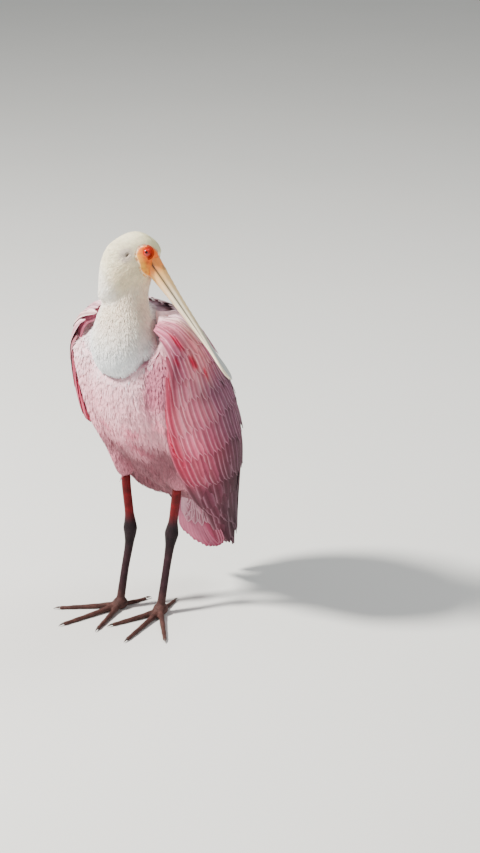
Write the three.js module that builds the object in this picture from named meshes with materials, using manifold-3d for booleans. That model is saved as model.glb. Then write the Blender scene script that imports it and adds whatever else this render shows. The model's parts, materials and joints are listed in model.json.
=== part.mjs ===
// Roseate spoonbill, life size, standing at rest: the neck is drawn in to a bulge at the breast,
// the head is turned to the bird's left and the bill hangs down beside the left wing.
// Millimetres. +Z is up, +X is the bird's left, and the breast faces -Y.
import * as THREE from 'three';
import { mergeVertices } from 'three/addons/utils/BufferGeometryUtils.js';
import Module from 'manifold-3d';

const wasm = await Module();
wasm.setup();

const V = (x, y, z) => new THREE.Vector3(x, y, z);
const rad = THREE.MathUtils.degToRad;
const lerp = THREE.MathUtils.lerp;

// Driving dimensions
const GAP = 0.3; // left between two neighbouring pieces
const MIDDLE = V(24.8, 27.5, 0); // middle of the whole bird on the floor, which becomes the origin

const BODY = {
  top: V(8, -29.5, 388), // upper end of the body's axis, between the shoulders
  pitch: rad(64), // how far the axis points below the horizontal, towards the tail
  start: 2,
  end: 294,
  halfWidth: 77,
  backDepth: 62,
  breastDepth: 72,
};

const WING = {
  start: -8, // where the wing begins and ends along the body's axis
  tip: 390,
  coreEnd: 342,
  feathers: 2, // how far the core lies under the wing's surface
  roll: 1, // how far one edge of a feather lies over the next one
  unevenness: 2.5,
  thickness: 11,
  squareness: 0.9, // under 1 makes the section fuller than an ellipse
  midlineGap: 0.4,
};

const TAIL = {
  root: 272,
  tip: 355,
  depth: -8,
  drop: 12,
  feathers: 12,
  coverts: 5,
  width: 21,
  fan: rad(26),
  spreadFrom: 10,
};

const HEAD = {
  middle: V(29.2, -10.1, 467.9), // half way between the eyes
  // Along the bill, the way that the crown faces, and the way that the left eye faces.
  forward: V(0.607, 0.117, -0.785).normalize(),
  crown: V(0.591, 0.602, 0.547).normalize(),
  eyeSpread: 15.6, // from the middle of the head out to the lids
  eyeSink: 3.6, // how far an eye's middle lies inside that
  eyeRadius: 5.4,
};

const LID = { radius: 4.7, thickness: 1.1, sink: 0.4 };

// Places in the head's frame [forward, crown, side] and half sizes [forward, crown, side].
const EAR = { at: [-9, -19.5, 20.5], half: [2.6, 3.4, 3.2] };
const NOSTRIL = { at: [24, 7.6, 5.6], half: [3.6, 0.9, 1.3] };

const BILL = { base: 6, tip: 174 };

const PALM = { height: 6.5, half: [9, 10, 8] };

const LEG = {
  right: { side: -1, exit: V(-27, 4, 177), ankle: V(-25, 7.5, 99), foot: V(-30, -8, 0) },
  left: { side: 1, exit: V(41, 21, 171), ankle: V(22.5, 30.2, 101), foot: V(20, 11, 0) },
  tibiaRadius: 5.7,
  ankleRadius: 8.2,
  ankleHalf: 13,
  tarsusRadius: 4.5,
  footHeight: 8,
  toeRadius: 3.9,
  webReach: 27,
  webHeight: 1.6,
  webThickness: 1.4,
};

const TOES = [
  { name: 'inner', angle: 19, length: 66 },
  { name: 'middle', angle: -13, length: 82 },
  { name: 'outer', angle: -46, length: 74 },
  { name: 'hind', angle: 166, length: 38 },
];

// Curves and sections

// A smooth curve through rows of [position, value, value, ...].
function track(rows) {
  const slope = (i, k) => {
    const a = rows[Math.max(i - 1, 0)];
    const b = rows[Math.min(i + 1, rows.length - 1)];
    return (b[k] - a[k]) / (b[0] - a[0]);
  };
  return (at) => {
    const x = Math.min(Math.max(at, rows[0][0]), rows[rows.length - 1][0]);
    let i = 0;
    while (i < rows.length - 2 && x > rows[i + 1][0]) i++;
    const h = rows[i + 1][0] - rows[i][0];
    const t = (x - rows[i][0]) / h;
    return rows[i].slice(1).map((_, n) => {
      const k = n + 1;
      const rise = rows[i + 1][k] - rows[i][k];
      const m0 = slope(i, k) * h;
      const m1 = slope(i + 1, k) * h;
      return rows[i][k] + t * (m0 + t * (3 * rise - 2 * m0 - m1 + t * (m0 + m1 - 2 * rise)));
    });
  };
}

// Half width of an egg at share t of its length. skew under 1 brings the widest place forward.
const egg = (t, skew, fullness) => Math.sin(Math.PI * Math.max(t, 0) ** skew) ** fullness;

// A ring of points: side and up are unit vectors, above and below the half heights.
function section(centre, side, up, half, above, below, sides) {
  const ring = [];
  for (let i = 0; i < sides; i++) {
    const angle = (2 * Math.PI * i) / sides;
    const rise = Math.sin(angle);
    ring.push(
      centre
        .clone()
        .addScaledVector(side, half * Math.cos(angle))
        .addScaledVector(up, rise * (rise > 0 ? above : below)),
    );
  }
  return ring;
}

// A closed surface through rings of points, with an end point at each end. turned says which strips
// take the other diagonal, so that a thin blade is split alike on both of its faces.
function loft(rings, startPoint, endPoint, turned = () => false) {
  const sides = rings[0].length;
  const middle = (ring) => ring.reduce((sum, p) => sum.add(p), V(0, 0, 0)).divideScalar(sides);
  const points = rings.flat();
  const start = points.push(startPoint || middle(rings[0])) - 1;
  const end = points.push(endPoint || middle(rings[rings.length - 1])) - 1;
  const faces = [];
  const last = (rings.length - 1) * sides;
  for (let j = 0; j < sides; j++) {
    const k = (j + 1) % sides;
    for (let i = 0; i < rings.length - 1; i++) {
      const a = i * sides;
      const b = a + sides;
      if (turned(j)) faces.push(a + j, a + k, b + j, a + k, b + k, b + j);
      else faces.push(a + j, a + k, b + k, a + j, b + k, b + j);
    }
    faces.push(start, k, j, end, last + j, last + k);
  }
  return closed(points, faces);
}

// A mesh from points and faces, turned so that its faces point out.
function closed(points, faces) {
  let volume = 0;
  for (let i = 0; i < faces.length; i += 3) {
    const [a, b, c] = [points[faces[i]], points[faces[i + 1]], points[faces[i + 2]]];
    volume += a.dot(b.clone().cross(c));
  }
  if (volume < 0) faces.reverse();
  const geometry = new THREE.BufferGeometry().setFromPoints(points);
  geometry.setIndex(faces);
  return geometry;
}

// A limb along a smooth curve: sizes are rows of [share, half width, half height].
function limb(points, sizes, steps, sides, upHint, rounded = true) {
  const curve = new THREE.CatmullRomCurve3(points, false, 'centripetal');
  const size = track(sizes);
  const rings = [];
  for (let i = 0; i <= steps; i++) {
    const t = i / steps;
    const along = curve.getTangentAt(t);
    const side = along.clone().cross(upHint).normalize();
    const up = side.clone().cross(along);
    const [half, height] = size(t);
    rings.push(section(curve.getPointAt(t), side, up, half, height, height, sides));
  }
  if (!rounded) return loft(rings);
  const cap = (t, way) =>
    curve.getPointAt(t).addScaledVector(curve.getTangentAt(t), way * size(t)[1] * 0.6);
  return loft(rings, cap(0, -1), cap(1, 1));
}

function ellipsoid(centre, x, y, z, xAxis, yAxis, widthSegments, heightSegments) {
  const zAxis = xAxis.clone().cross(yAxis);
  const matrix = new THREE.Matrix4().makeBasis(xAxis, yAxis, zAxis);
  return new THREE.SphereGeometry(1, widthSegments, heightSegments)
    .scale(x, y, z)
    .applyMatrix4(matrix)
    .translate(centre.x, centre.y, centre.z);
}

// A box that reaches far on the side of a plane that its normal points to.
function halfSpace(point, normal) {
  const reach = 900;
  const turn = new THREE.Quaternion().setFromUnitVectors(V(0, 0, 1), normal.clone().normalize());
  return new THREE.BoxGeometry(reach, reach, reach)
    .translate(0, 0, reach / 2)
    .applyQuaternion(turn)
    .translate(point.x, point.y, point.z);
}

// Solids

function solid(geometry) {
  const bare = geometry.clone();
  bare.deleteAttribute('normal');
  bare.deleteAttribute('uv');
  const merged = mergeVertices(bare, 1e-3);
  return new wasm.Manifold(
    new wasm.Mesh({
      numProp: 3,
      vertProperties: merged.attributes.position.array,
      triVerts: new Uint32Array(merged.index.array),
    }),
  );
}

const join = (geometries) => wasm.Manifold.union(geometries.map(solid));
const cut = (body, ...tools) => tools.reduce((rest, tool) => rest.subtract(tool), body);

// Only the largest closed surface of a solid, so that no sealed hollow and no loose scrap stays.
function largest(body) {
  const { vertProperties: xyz, triVerts } = body.getMesh();
  const leader = Array.from({ length: xyz.length / 3 }, (_, i) => i);
  const find = (i) => {
    while (leader[i] !== i) i = leader[i] = leader[leader[i]];
    return i;
  };
  for (let i = 0; i < triVerts.length; i += 3) {
    leader[find(triVerts[i])] = find(triVerts[i + 1]);
    leader[find(triVerts[i + 1])] = find(triVerts[i + 2]);
  }
  const surfaces = new Map();
  const corner = (i) => V(xyz[3 * i], xyz[3 * i + 1], xyz[3 * i + 2]);
  for (let i = 0; i < triVerts.length; i += 3) {
    const face = [triVerts[i], triVerts[i + 1], triVerts[i + 2]];
    const key = find(face[0]);
    if (!surfaces.has(key)) surfaces.set(key, { faces: [], volume: 0 });
    const surface = surfaces.get(key);
    const [a, b, c] = face.map(corner);
    surface.faces.push(...face);
    surface.volume += a.dot(b.cross(c));
  }
  const best = [...surfaces.values()].reduce((one, other) => (other.volume > one.volume ? other : one));
  const places = new Map();
  const points = [];
  for (const i of best.faces) {
    if (places.has(i)) continue;
    places.set(i, points.length);
    points.push(corner(i));
  }
  const geometry = new THREE.BufferGeometry().setFromPoints(points);
  geometry.setIndex(best.faces.map((i) => places.get(i)));
  return geometry;
}

const bird = new THREE.Group();

const MATERIALS = {
  breast: new THREE.MeshStandardMaterial({ color: 0xf0c6cb, roughness: 0.9 }),
  whitePlumage: new THREE.MeshStandardMaterial({ color: 0xf4efe6, roughness: 0.9 }),
  wing: new THREE.MeshStandardMaterial({ color: 0xe08a9c, roughness: 0.8 }),
  tail: new THREE.MeshStandardMaterial({ color: 0xc95f6e, roughness: 0.8 }),
  bill: new THREE.MeshStandardMaterial({ color: 0xe8d3ad, roughness: 0.45 }),
  eye: new THREE.MeshStandardMaterial({ color: 0xa81208, roughness: 0.1 }),
  leg: new THREE.MeshStandardMaterial({ color: 0x4a1f22, roughness: 0.6 }),
  claw: new THREE.MeshStandardMaterial({ color: 0x1d1718, roughness: 0.5 }),
};

function node(name, body, material) {
  const mesh = new THREE.Mesh(largest(body), material.clone());
  mesh.name = name;
  bird.add(mesh);
  return mesh;
}

// Body frame: s runs from the shoulders to the tail, x to the bird's left, d towards the back.
const ALONG = V(0, Math.cos(BODY.pitch), -Math.sin(BODY.pitch));
const BACK = V(0, Math.sin(BODY.pitch), Math.cos(BODY.pitch));
const LEFT = V(1, 0, 0);

const inBody = (s, x, d) =>
  BODY.top.clone().addScaledVector(ALONG, s).addScaledVector(LEFT, x).addScaledVector(BACK, d);

function torsoShape(grow, steps = 18, sides = 24) {
  const rings = [];
  for (let i = 1; i < steps; i++) {
    const t = i / steps;
    const swell = egg(t, 0.78, 0.68);
    rings.push(
      section(
        inBody(lerp(BODY.start, BODY.end, t), 0, 0),
        LEFT,
        BACK,
        BODY.halfWidth * swell + grow,
        BODY.backDepth * swell + grow,
        BODY.breastDepth * swell + grow,
        sides,
      ),
    );
  }
  return loft(rings, inBody(BODY.start - grow, 0, 0), inBody(BODY.end + grow, 0, 0));
}

// The surface that the folded wings make round the body: half width, back depth and breast depth.
const wingSection = track([
  [-12, 46, 32, 28],
  [8, 72, 52, 48],
  [40, 86, 65, 63],
  [80, 90, 72, 76],
  [130, 92, 77, 80],
  [190, 85, 73, 72],
  [240, 70, 62, 58],
  [290, 50, 48, 40],
  [340, 33, 32, 24],
  [390, 18, 12, 8],
]);

// A point on that surface: angle 0 is the middle of the back and 90 degrees the bird's side.
function onWing(s, degrees, side, lift) {
  const place = (at, angle) => {
    const [half, back, front] = wingSection(at);
    const full = (value) => Math.sign(value) * Math.abs(value) ** WING.squareness;
    const c = full(Math.cos(angle));
    return inBody(at, side * half * full(Math.sin(angle)), c * (c > 0 ? back : front));
  };
  const angle = rad(degrees);
  const step = 0.5;
  const point = place(s, angle);
  const alongS = place(s + step, angle).sub(place(s - step, angle));
  const alongAngle = place(s, angle + 0.02).sub(place(s, angle - 0.02));
  const normal = alongAngle.cross(alongS).multiplyScalar(side).normalize();
  return { point: point.addScaledVector(normal, lift), normal };
}

// The front and back edges of the folded wing, in degrees round the body.
const wingEdges = track([
  [-8, 36, 92],
  [40, 22, 118],
  [90, 12, 132],
  [150, 6, 138],
  [210, 4, 126],
  [280, 3, 104],
  [340, 3, 88],
  [390, 3, 60],
]);

// The core that the feathers of a wing are rooted in, thin along its edges and towards its end.
function wingCore(side) {
  const steps = 9;
  const across = 6;
  const rings = [];
  for (let i = 0; i <= steps; i++) {
    const s = lerp(WING.start, WING.coreEnd, i / steps);
    const [backEdge, frontEdge] = wingEdges(s);
    const thick = WING.thickness * (1 - 0.6 * (i / steps));
    const outer = [];
    const inner = [];
    for (let j = 0; j <= across; j++) {
      const v = j / across;
      const depth = 1 + (thick - 1) * Math.sin(Math.PI * v) ** 0.5;
      outer.push(onWing(s, lerp(backEdge, frontEdge, v), side, -WING.feathers).point);
      inner.push(onWing(s, lerp(backEdge, frontEdge, v), side, -WING.feathers - depth).point);
    }
    rings.push([...outer, ...inner.reverse()]);
  }
  return loft(rings, null, null, (j) => j > across);
}

// A blade from rings of [share of its length, share of its width]. at(share) gives a point of its
// middle line with its normal there, and roll lifts one edge over the next blade.
function blade(at, width, shape, { thick = 0.7, roll = 0 }) {
  const rings = shape.map(([t, share]) => {
    const { point, normal } = at(t);
    const along = at(t + 0.02).point.sub(at(t - 0.02).point).normalize();
    const across = normal.clone().cross(along).normalize();
    const half = (width * share) / 2;
    const place = (way, down) =>
      point
        .clone()
        .addScaledVector(across, way * half)
        .addScaledVector(normal, way * roll * share - down);
    return [place(-1, 0), place(1, 0), place(1, thick), place(-1, thick)];
  });
  const last = at(1);
  const beyond = last.point.clone().sub(at(0.94).point).normalize();
  const end = last.point.addScaledVector(beyond, width * 0.24).addScaledVector(last.normal, -thick / 2);
  return loft(rings, null, end, (j) => j === 2);
}

const LONG_BLADE = [[0, 0.2], [0.16, 0.7], [0.45, 1], [0.8, 0.96], [1, 0.6]];
const SHORT_BLADE = [[0, 0.25], [0.2, 0.8], [0.7, 1], [1, 0.62]];

// One feather on the wing surface. from and to are [distance along the body, degrees round it], and
// lift is its height over the core's feather line past its root and at its tip.
function vane({ from, to, width, side, lift, sink = 3, shape = SHORT_BLADE }) {
  const rooted = shape[1][0];
  const at = (t) => {
    const past = (t - rooted) / (1 - rooted);
    const rise = t < rooted ? lerp(-sink, lift[0], t / rooted) : lerp(lift[0], lift[1], past);
    return onWing(lerp(from[0], to[0], t), lerp(from[1], to[1], t), side, rise - WING.feathers);
  };
  return blade(at, width, shape, { roll: -side * WING.roll });
}

// A small steady change from one feather to the next, between -1 and 1.
const vary = (n) => Math.sin(12.9 * n + 1.7);

// The tiers of one wing. Each row gives the place of its first and last feather.
const TIERS = [
  // Primaries, which show past the rest at the tip.
  {
    count: 3,
    from: [[270, 60], [262, 92]],
    to: [[WING.tip - 5, 30], [WING.tip - 40, 64]],
    width: 25,
    lift: [0.2, 0],
    shape: LONG_BLADE,
  },
  // Secondaries along the lower edge.
  {
    count: 4,
    from: [[236, 82], [132, 128]],
    to: [[348, 58], [254, 116]],
    width: 35,
    lift: [0.9, 2],
    shape: LONG_BLADE,
  },
  // Long inner feathers over the back.
  {
    count: 3,
    from: [[196, 14], [226, 58]],
    to: [[350, 16], [362, 46]],
    width: 33,
    lift: [2, 3.4],
    shape: LONG_BLADE,
  },
  // Greater coverts.
  { count: 5, from: [[168, 42], [108, 124]], to: [[262, 38], [202, 128]], width: 32, lift: [1.2, 4.6] },
  // Median coverts.
  { count: 4, from: [[108, 44], [70, 114]], to: [[186, 42], [148, 122]], width: 40, lift: [1.2, 4.6] },
  // Lesser coverts at the shoulder.
  { count: 3, from: [[50, 48], [28, 96]], to: [[122, 44], [96, 110]], width: 44, lift: [1.2, 4.6] },
  // Shoulder feathers along the back.
  { count: 2, from: [[58, 24], [122, 15]], to: [[148, 20], [220, 16]], width: 33, lift: [3.4, 7] },
];

function wingFeathers(side) {
  return TIERS.flatMap(({ count, from, to, ...rest }, tier) =>
    Array.from({ length: count }, (_, i) => {
      const u = i / (count - 1);
      const mix = (ends) => [lerp(ends[0][0], ends[1][0], u), lerp(ends[0][1], ends[1][1], u)];
      const tip = mix(to);
      tip[0] += WING.unevenness * vary(tier * 7 + i);
      return vane({ from: mix(from), to: tip, side, ...rest });
    }),
  );
}

function wing(side, ...neighbours) {
  const whole = join([wingCore(side), ...wingFeathers(side)]);
  const midline = halfSpace(inBody(0, side * WING.midlineGap, 0), V(-side, 0, 0));
  return cut(whole, ...neighbours, solid(midline));
}

// Tail: a fan of feathers with coverts under it, all rooted in one small core. Each feather lies
// under its inner neighbour.
function tailFeather({ fan, tip, depth, width }) {
  const at = (t) => {
    const s = lerp(TAIL.root - 6, tip, t);
    const share = Math.max(s - TAIL.root, 0) / (TAIL.tip - TAIL.root);
    const reach = s - TAIL.root + TAIL.spreadFrom;
    const point = inBody(s, Math.sin(fan) * reach, depth * (0.35 + 0.65 * share) - TAIL.drop * share ** 1.2);
    return { point: point.addScaledVector(BACK, TAIL.depth), normal: BACK };
  };
  return blade(at, width, LONG_BLADE, { thick: 0.9 });
}

function tailShape() {
  const core = ellipsoid(inBody(TAIL.root + 4, 0, TAIL.depth - 5), 17, 17, 7, LEFT, ALONG, 16, 8);
  const blades = [core];
  for (let i = 0; i < TAIL.feathers; i++) {
    const u = i / (TAIL.feathers - 1) - 0.5;
    const rank = Math.abs(2 * u);
    const layer = Math.abs(i - (TAIL.feathers - 1) / 2) + (u > 0 ? 0.5 : 0);
    blades.push(
      tailFeather({
        fan: u * TAIL.fan,
        tip: TAIL.tip - 9 * rank,
        depth: -1.3 * layer,
        width: TAIL.width,
      }),
    );
  }
  for (let i = 0; i < TAIL.coverts; i++) {
    const u = i / (TAIL.coverts - 1) - 0.5;
    blades.push(
      tailFeather({
        fan: u * TAIL.fan * 1.1,
        tip: lerp(TAIL.root, TAIL.tip, 0.66) + 5 * vary(i),
        depth: -10.5 - 1.3 * (i % 2),
        width: TAIL.width * 0.95,
      }),
    );
  }
  return join(blades);
}

// Everything is built in the order in which each piece is cut by those before it.

const torso = solid(torsoShape(0));
const torsoTool = solid(torsoShape(GAP));

// Neck: a short base out of the body, the bulge of its bend, and the upper neck.
const neckShape = (grow) =>
  limb(
    [V(10, -39, 322), V(9, -38, 340), V(8, -33, 372), V(8, -28, 402), V(9, -25, 424), V(13, -18, 446)],
    [
      [0, 13 + grow, 13 + grow],
      [0.06, 25 + grow, 25 + grow],
      [0.14, 33 + grow, 32 + grow],
      [0.28, 38 + grow, 36 + grow],
      [0.46, 35.5 + grow, 34 + grow],
      [0.7, 27 + grow, 27 + grow],
      [1, 23 + grow, 23 + grow],
    ],
    13,
    18,
    V(0, 1, 0),
  );
const baseShape = (grow) =>
  limb(
    [V(9, 34, 336), V(9, 16, 356), V(8, -6, 368), V(8, -32, 368)],
    [
      [0, 46 + grow, 42 + grow],
      [0.5, 46 + grow, 40 + grow],
      [1, 28 + grow, 26 + grow],
    ],
    6,
    16,
    V(0, 0, 1),
  );

const neck = solid(neckShape(0));
const neckTool = solid(neckShape(GAP));
const NECK_SPLIT = V(9, -30, 384);
// What lies over (way -1) or under (way 1) the level of a point, less half a gap.
const splitAt = (point, way) => {
  const level = point.clone().add(V(0, 0, (way * GAP) / 2));
  return solid(halfSpace(level, V(0, 0, -way)));
};

// Head in its own frame: forward along the bill, crown, and left.
const F = HEAD.forward;
const L = HEAD.crown.clone().cross(F).normalize();
const C = F.clone().cross(L).normalize();
const inHead = (f, c, l) =>
  HEAD.middle.clone().addScaledVector(F, f).addScaledVector(C, c).addScaledVector(L, l);

// Slices of the head from the nape up to the forehead: back and front edge and half width.
const headSlice = track([
  [-75, 8, 18, 5],
  [-67, -3, 27, 14],
  [-53, -20.5, 28, 20],
  [-36, -32, 27, 21],
  [-16, -33.5, 25.5, 19.5],
  [-4, -31, 20.5, 17.5],
  [3.5, -26.5, 15.5, 15.5],
  [9.5, -18.5, 11, 12.5],
  [13.4, -9, 6, 7.5],
]);

function headShape(grow) {
  const steps = 15;
  const rings = [];
  for (let i = 0; i <= steps; i++) {
    const c = lerp(-75, 13.4, Math.sin((Math.PI / 2) * (i / steps)) ** 0.9);
    const [from, to, half] = headSlice(c);
    const depth = (to - from) / 2 + grow;
    rings.push(section(inHead((from + to) / 2, c, 0), L, F, half + grow, depth, depth, 18));
  }
  return loft(rings, inHead(13, -78 - grow, 0), inHead(-2, 15 + grow, 0));
}

// Half widths and heights of the two halves of the bill along its length.
const billTop = track([
  [0, 11, 11, 3],
  [0.12, 9.6, 9, 2.5],
  [0.35, 8, 6, 1.5],
  [0.62, 8.2, 4, 0.8],
  [0.78, 15, 2.6, 0.4],
  [0.9, 23, 2.2, 0.2],
  [0.97, 19, 2, 0.2],
  [1, 10, 1.4, 0.2],
]);

function billShape(upper, grow) {
  const steps = 16;
  const rings = [];
  for (let i = 0; i <= steps; i++) {
    const t = i / steps;
    const [half, height, rise] = billTop(t);
    const f = lerp(BILL.base, BILL.tip - 3, t);
    const line = -3 + 4 * t; // the line of the mouth, in the crown direction
    const low = upper ? line + GAP / 2 : line - GAP / 2;
    const width = (upper ? half : half * 0.94) + grow;
    const reach = upper ? height : -(height * 0.9 + rise);
    const centre = inHead(f, low, 0);
    const ring = [];
    const arc = 8;
    for (let j = 0; j <= arc; j++) {
      const angle = (Math.PI * j) / arc;
      ring.push(
        centre
          .clone()
          .addScaledVector(L, width * Math.cos(angle))
          .addScaledVector(C, (reach + Math.sign(reach) * grow) * Math.sin(angle) ** 0.8),
      );
    }
    rings.push(ring);
  }
  return loft(rings, null, inHead(BILL.tip, 1 + (upper ? 0.8 : -0.8), 0));
}

const headTool = (grow) => solid(headShape(grow));
const eyeAt = (side) => inHead(0, 0, side * (HEAD.eyeSpread - HEAD.eyeSink));
const eyeShape = (side, grow) =>
  ellipsoid(eyeAt(side), HEAD.eyeRadius + grow, HEAD.eyeRadius + grow, HEAD.eyeRadius + grow, C, L, 12, 8);

// Two lids: a soft ring round each eye.
const lidShape = (side) => {
  const ring = new THREE.TorusGeometry(LID.radius, LID.thickness, 5, 14);
  const turn = new THREE.Matrix4().makeBasis(F, C, F.clone().cross(C));
  const place = inHead(0, 0, side * (HEAD.eyeSpread - LID.sink));
  return ring.applyMatrix4(turn).translate(place.x, place.y, place.z);
};

node('torso', torso, MATERIALS.breast);

const baseTool = solid(baseShape(GAP));
const base = cut(solid(baseShape(0)), torsoTool, neckTool);
node('neck_base', base, MATERIALS.whitePlumage);

const neckBend = cut(neck, torsoTool, splitAt(NECK_SPLIT, -1));
node('neck_bend', neckBend, MATERIALS.whitePlumage);
const neckUpper = cut(neck, torsoTool, headTool(2 * GAP), splitAt(NECK_SPLIT, 1));
node('neck_upper', neckUpper, MATERIALS.whitePlumage);

// A shallow cup at each ear and a slit at each nostril.
const hollow = ({ at: [f, c, l], half }, side) => ellipsoid(inHead(f, c, side * l), ...half, F, C, 10, 6);
const ears = [-1, 1].map((side) => solid(hollow(EAR, side)));
const nostrils = [-1, 1].map((side) => solid(hollow(NOSTRIL, side)));

const billUpperTool = solid(billShape(true, GAP));
const billLowerTool = solid(billShape(false, GAP));
const eyeTools = [-1, 1].map((side) => solid(eyeShape(side, GAP)));
const head = cut(join([headShape(0), lidShape(-1), lidShape(1)]), ...eyeTools, ...ears, billUpperTool, billLowerTool);
node('head', head, MATERIALS.whitePlumage);
node('eye_right', solid(eyeShape(-1, 0)), MATERIALS.eye);
node('eye_left', solid(eyeShape(1, 0)), MATERIALS.eye);
node('bill_upper', cut(solid(billShape(true, 0)), ...nostrils), MATERIALS.bill);
node('bill_lower', solid(billShape(false, 0)), MATERIALS.bill);

const bodyTools = [torsoTool, baseTool, neckTool];
node('wing_left', wing(1, ...bodyTools, solid(thighShape(LEG.left, GAP))), MATERIALS.wing);
node('wing_right', wing(-1, ...bodyTools, solid(thighShape(LEG.right, GAP))), MATERIALS.wing);

node('tail', cut(tailShape(), torsoTool), MATERIALS.tail);

// Legs

function thighShape(leg, grow) {
  const hip = V(BODY.top.x + leg.side * 42, leg.exit.y + 22, 236);
  const knee = V(lerp(hip.x, leg.exit.x, 0.45), leg.exit.y + 2, 208);
  return limb(
    [hip, knee, leg.exit],
    [
      [0, 26 + grow, 30 + grow],
      [0.45, 23 + grow, 26 + grow],
      [0.8, 12 + grow, 14 + grow],
      [1, 7.6 + grow, 8 + grow],
    ],
    8,
    14,
    V(0, 1, 0),
  );
}

// The bare leg in one piece, from inside the thigh to the foot, which planes then part.
function bareLegShape(leg) {
  const inside = leg.exit.clone().add(V(0, 6, 24));
  const low = leg.foot.clone().setZ(LEG.footHeight);
  const [tibia, ankle, tarsus] = [LEG.tibiaRadius, LEG.ankleRadius, LEG.tarsusRadius];
  return limb(
    [inside, leg.exit, leg.ankle, low.clone().lerp(leg.ankle, 0.45), low],
    [
      [0, tibia, tibia],
      [0.3, tibia * 0.94, tibia],
      [0.42, tibia, tibia * 1.05],
      [0.5, ankle, ankle * 1.12],
      [0.58, tarsus * 1.25, tarsus * 1.35],
      [0.75, tarsus, tarsus * 1.1],
      [1, tarsus * 1.1, tarsus * 1.2],
    ],
    22,
    10,
    V(1, 0, 0),
    false,
  );
}

const toeWay = (leg, degrees) => V(-leg.side * Math.sin(rad(degrees)), -Math.cos(rad(degrees)), 0);

function palmShape(leg, grow) {
  const centre = leg.foot.clone().setZ(PALM.height);
  return ellipsoid(centre, ...PALM.half.map((half) => half + grow), V(1, 0, 0), V(0, 1, 0), 12, 8);
}

// A toe that thins to its tip, with a swelling at each joint.
function toeShape(leg, toe, grow) {
  const way = toeWay(leg, toe.angle);
  const radius = LEG.toeRadius * (toe.name === 'hind' ? 0.86 : 1);
  const joints = toe.name === 'hind' ? 2 : 4;
  const at = (t) =>
    leg.foot
      .clone()
      .addScaledVector(way, toe.length * t)
      .setZ(radius * lerp(0.8, 0.5, t) + 2.2 * (1 - t) ** 3);
  const steps = 9;
  const sizes = [];
  for (let i = 0; i <= steps; i++) {
    const t = i / steps;
    const size = radius * lerp(1, 0.62, t) * (1 + 0.1 * Math.cos(2 * Math.PI * joints * t)) + grow;
    sizes.push([t, size, size * 0.95]);
  }
  return limb([at(0), at(0.35), at(0.7), at(1)], sizes, steps, 8, V(0, 0, 1));
}

function clawShape(leg, toe) {
  const way = toeWay(leg, toe.angle);
  const at = (reach, z) => leg.foot.clone().addScaledVector(way, toe.length + reach).setZ(z);
  return limb(
    [at(-4, 2.3), at(2, 2.8), at(6, 2.2), at(9, 0.9)],
    [
      [0, 1.7, 1.7],
      [0.5, 1.3, 1.5],
      [1, 0.35, 0.4],
    ],
    5,
    6,
    V(0, 0, 1),
  );
}

// A small web between two neighbouring front toes, hollow at its free edge.
function webShape(leg, one, other) {
  const reach = LEG.webReach;
  const steps = 6;
  const outline = [leg.foot.clone()];
  for (let i = 0; i <= steps; i++) {
    const u = i / steps;
    const way = toeWay(leg, lerp(one.angle, other.angle, u));
    const hollow = 1 - 0.42 * Math.sin(Math.PI * u);
    outline.push(leg.foot.clone().addScaledVector(way, reach * hollow));
  }
  const rings = [LEG.webHeight, LEG.webHeight + LEG.webThickness].map((z) =>
    outline.map((p) => p.clone().setZ(z)),
  );
  return loft(rings, leg.foot.clone().setZ(LEG.webHeight), leg.foot.clone().setZ(LEG.webHeight + LEG.webThickness));
}

const floor = solid(halfSpace(V(0, 0, 0), V(0, 0, -1)));

for (const [name, leg] of Object.entries({ right: LEG.right, left: LEG.left })) {
  const thighTool = solid(thighShape(leg, GAP));
  node('thigh_' + name, cut(solid(thighShape(leg, 0)), torsoTool), MATERIALS.breast);

  const bare = solid(bareLegShape(leg));
  const highCut = leg.ankle.clone().add(V(0, 0, LEG.ankleHalf));
  const lowCut = leg.ankle.clone().add(V(0, 0, -LEG.ankleHalf));
  node('shank_' + name, cut(bare, thighTool, torsoTool, splitAt(highCut, 1)), MATERIALS.leg);
  node('ankle_' + name, cut(bare, splitAt(highCut, -1), splitAt(lowCut, 1)), MATERIALS.leg);
  node('tarsus_' + name, cut(bare, splitAt(lowCut, -1), solid(palmShape(leg, GAP))), MATERIALS.leg);

  const toeTools = TOES.map((toe) => solid(toeShape(leg, toe, GAP)));
  const webs = [
    webShape(leg, TOES[0], TOES[1]),
    webShape(leg, TOES[1], TOES[2]),
  ].map((web) => cut(solid(web), ...toeTools));
  const palm = webs.reduce((sum, web) => sum.add(web), solid(palmShape(leg, 0)));
  node('foot_' + name, cut(palm, floor), MATERIALS.leg);
  TOES.forEach((toe, i) => {
    node(
      ['toe', toe.name, name].join('_'),
      cut(solid(toeShape(leg, toe, 0)), solid(palmShape(leg, GAP)), ...toeTools.slice(0, i), floor),
      MATERIALS.leg,
    );
    node(['claw', toe.name, name].join('_'), cut(solid(clawShape(leg, toe)), toeTools[i], floor), MATERIALS.claw);
  });
}

bird.position.copy(MIDDLE).negate();
bird.updateMatrixWorld(true);

export default bird;
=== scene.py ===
"""The looks of a life-size roseate spoonbill that stands with its neck drawn in.

Places are in millimetres in the bird's own frame: +Z is up, +X is the bird's left, and the breast
faces -Y. row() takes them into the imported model's frame, in metres.
"""
import json
import math

import bpy
import numpy as np
from mathutils import Matrix, Vector
from mathutils.bvhtree import BVHTree

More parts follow.
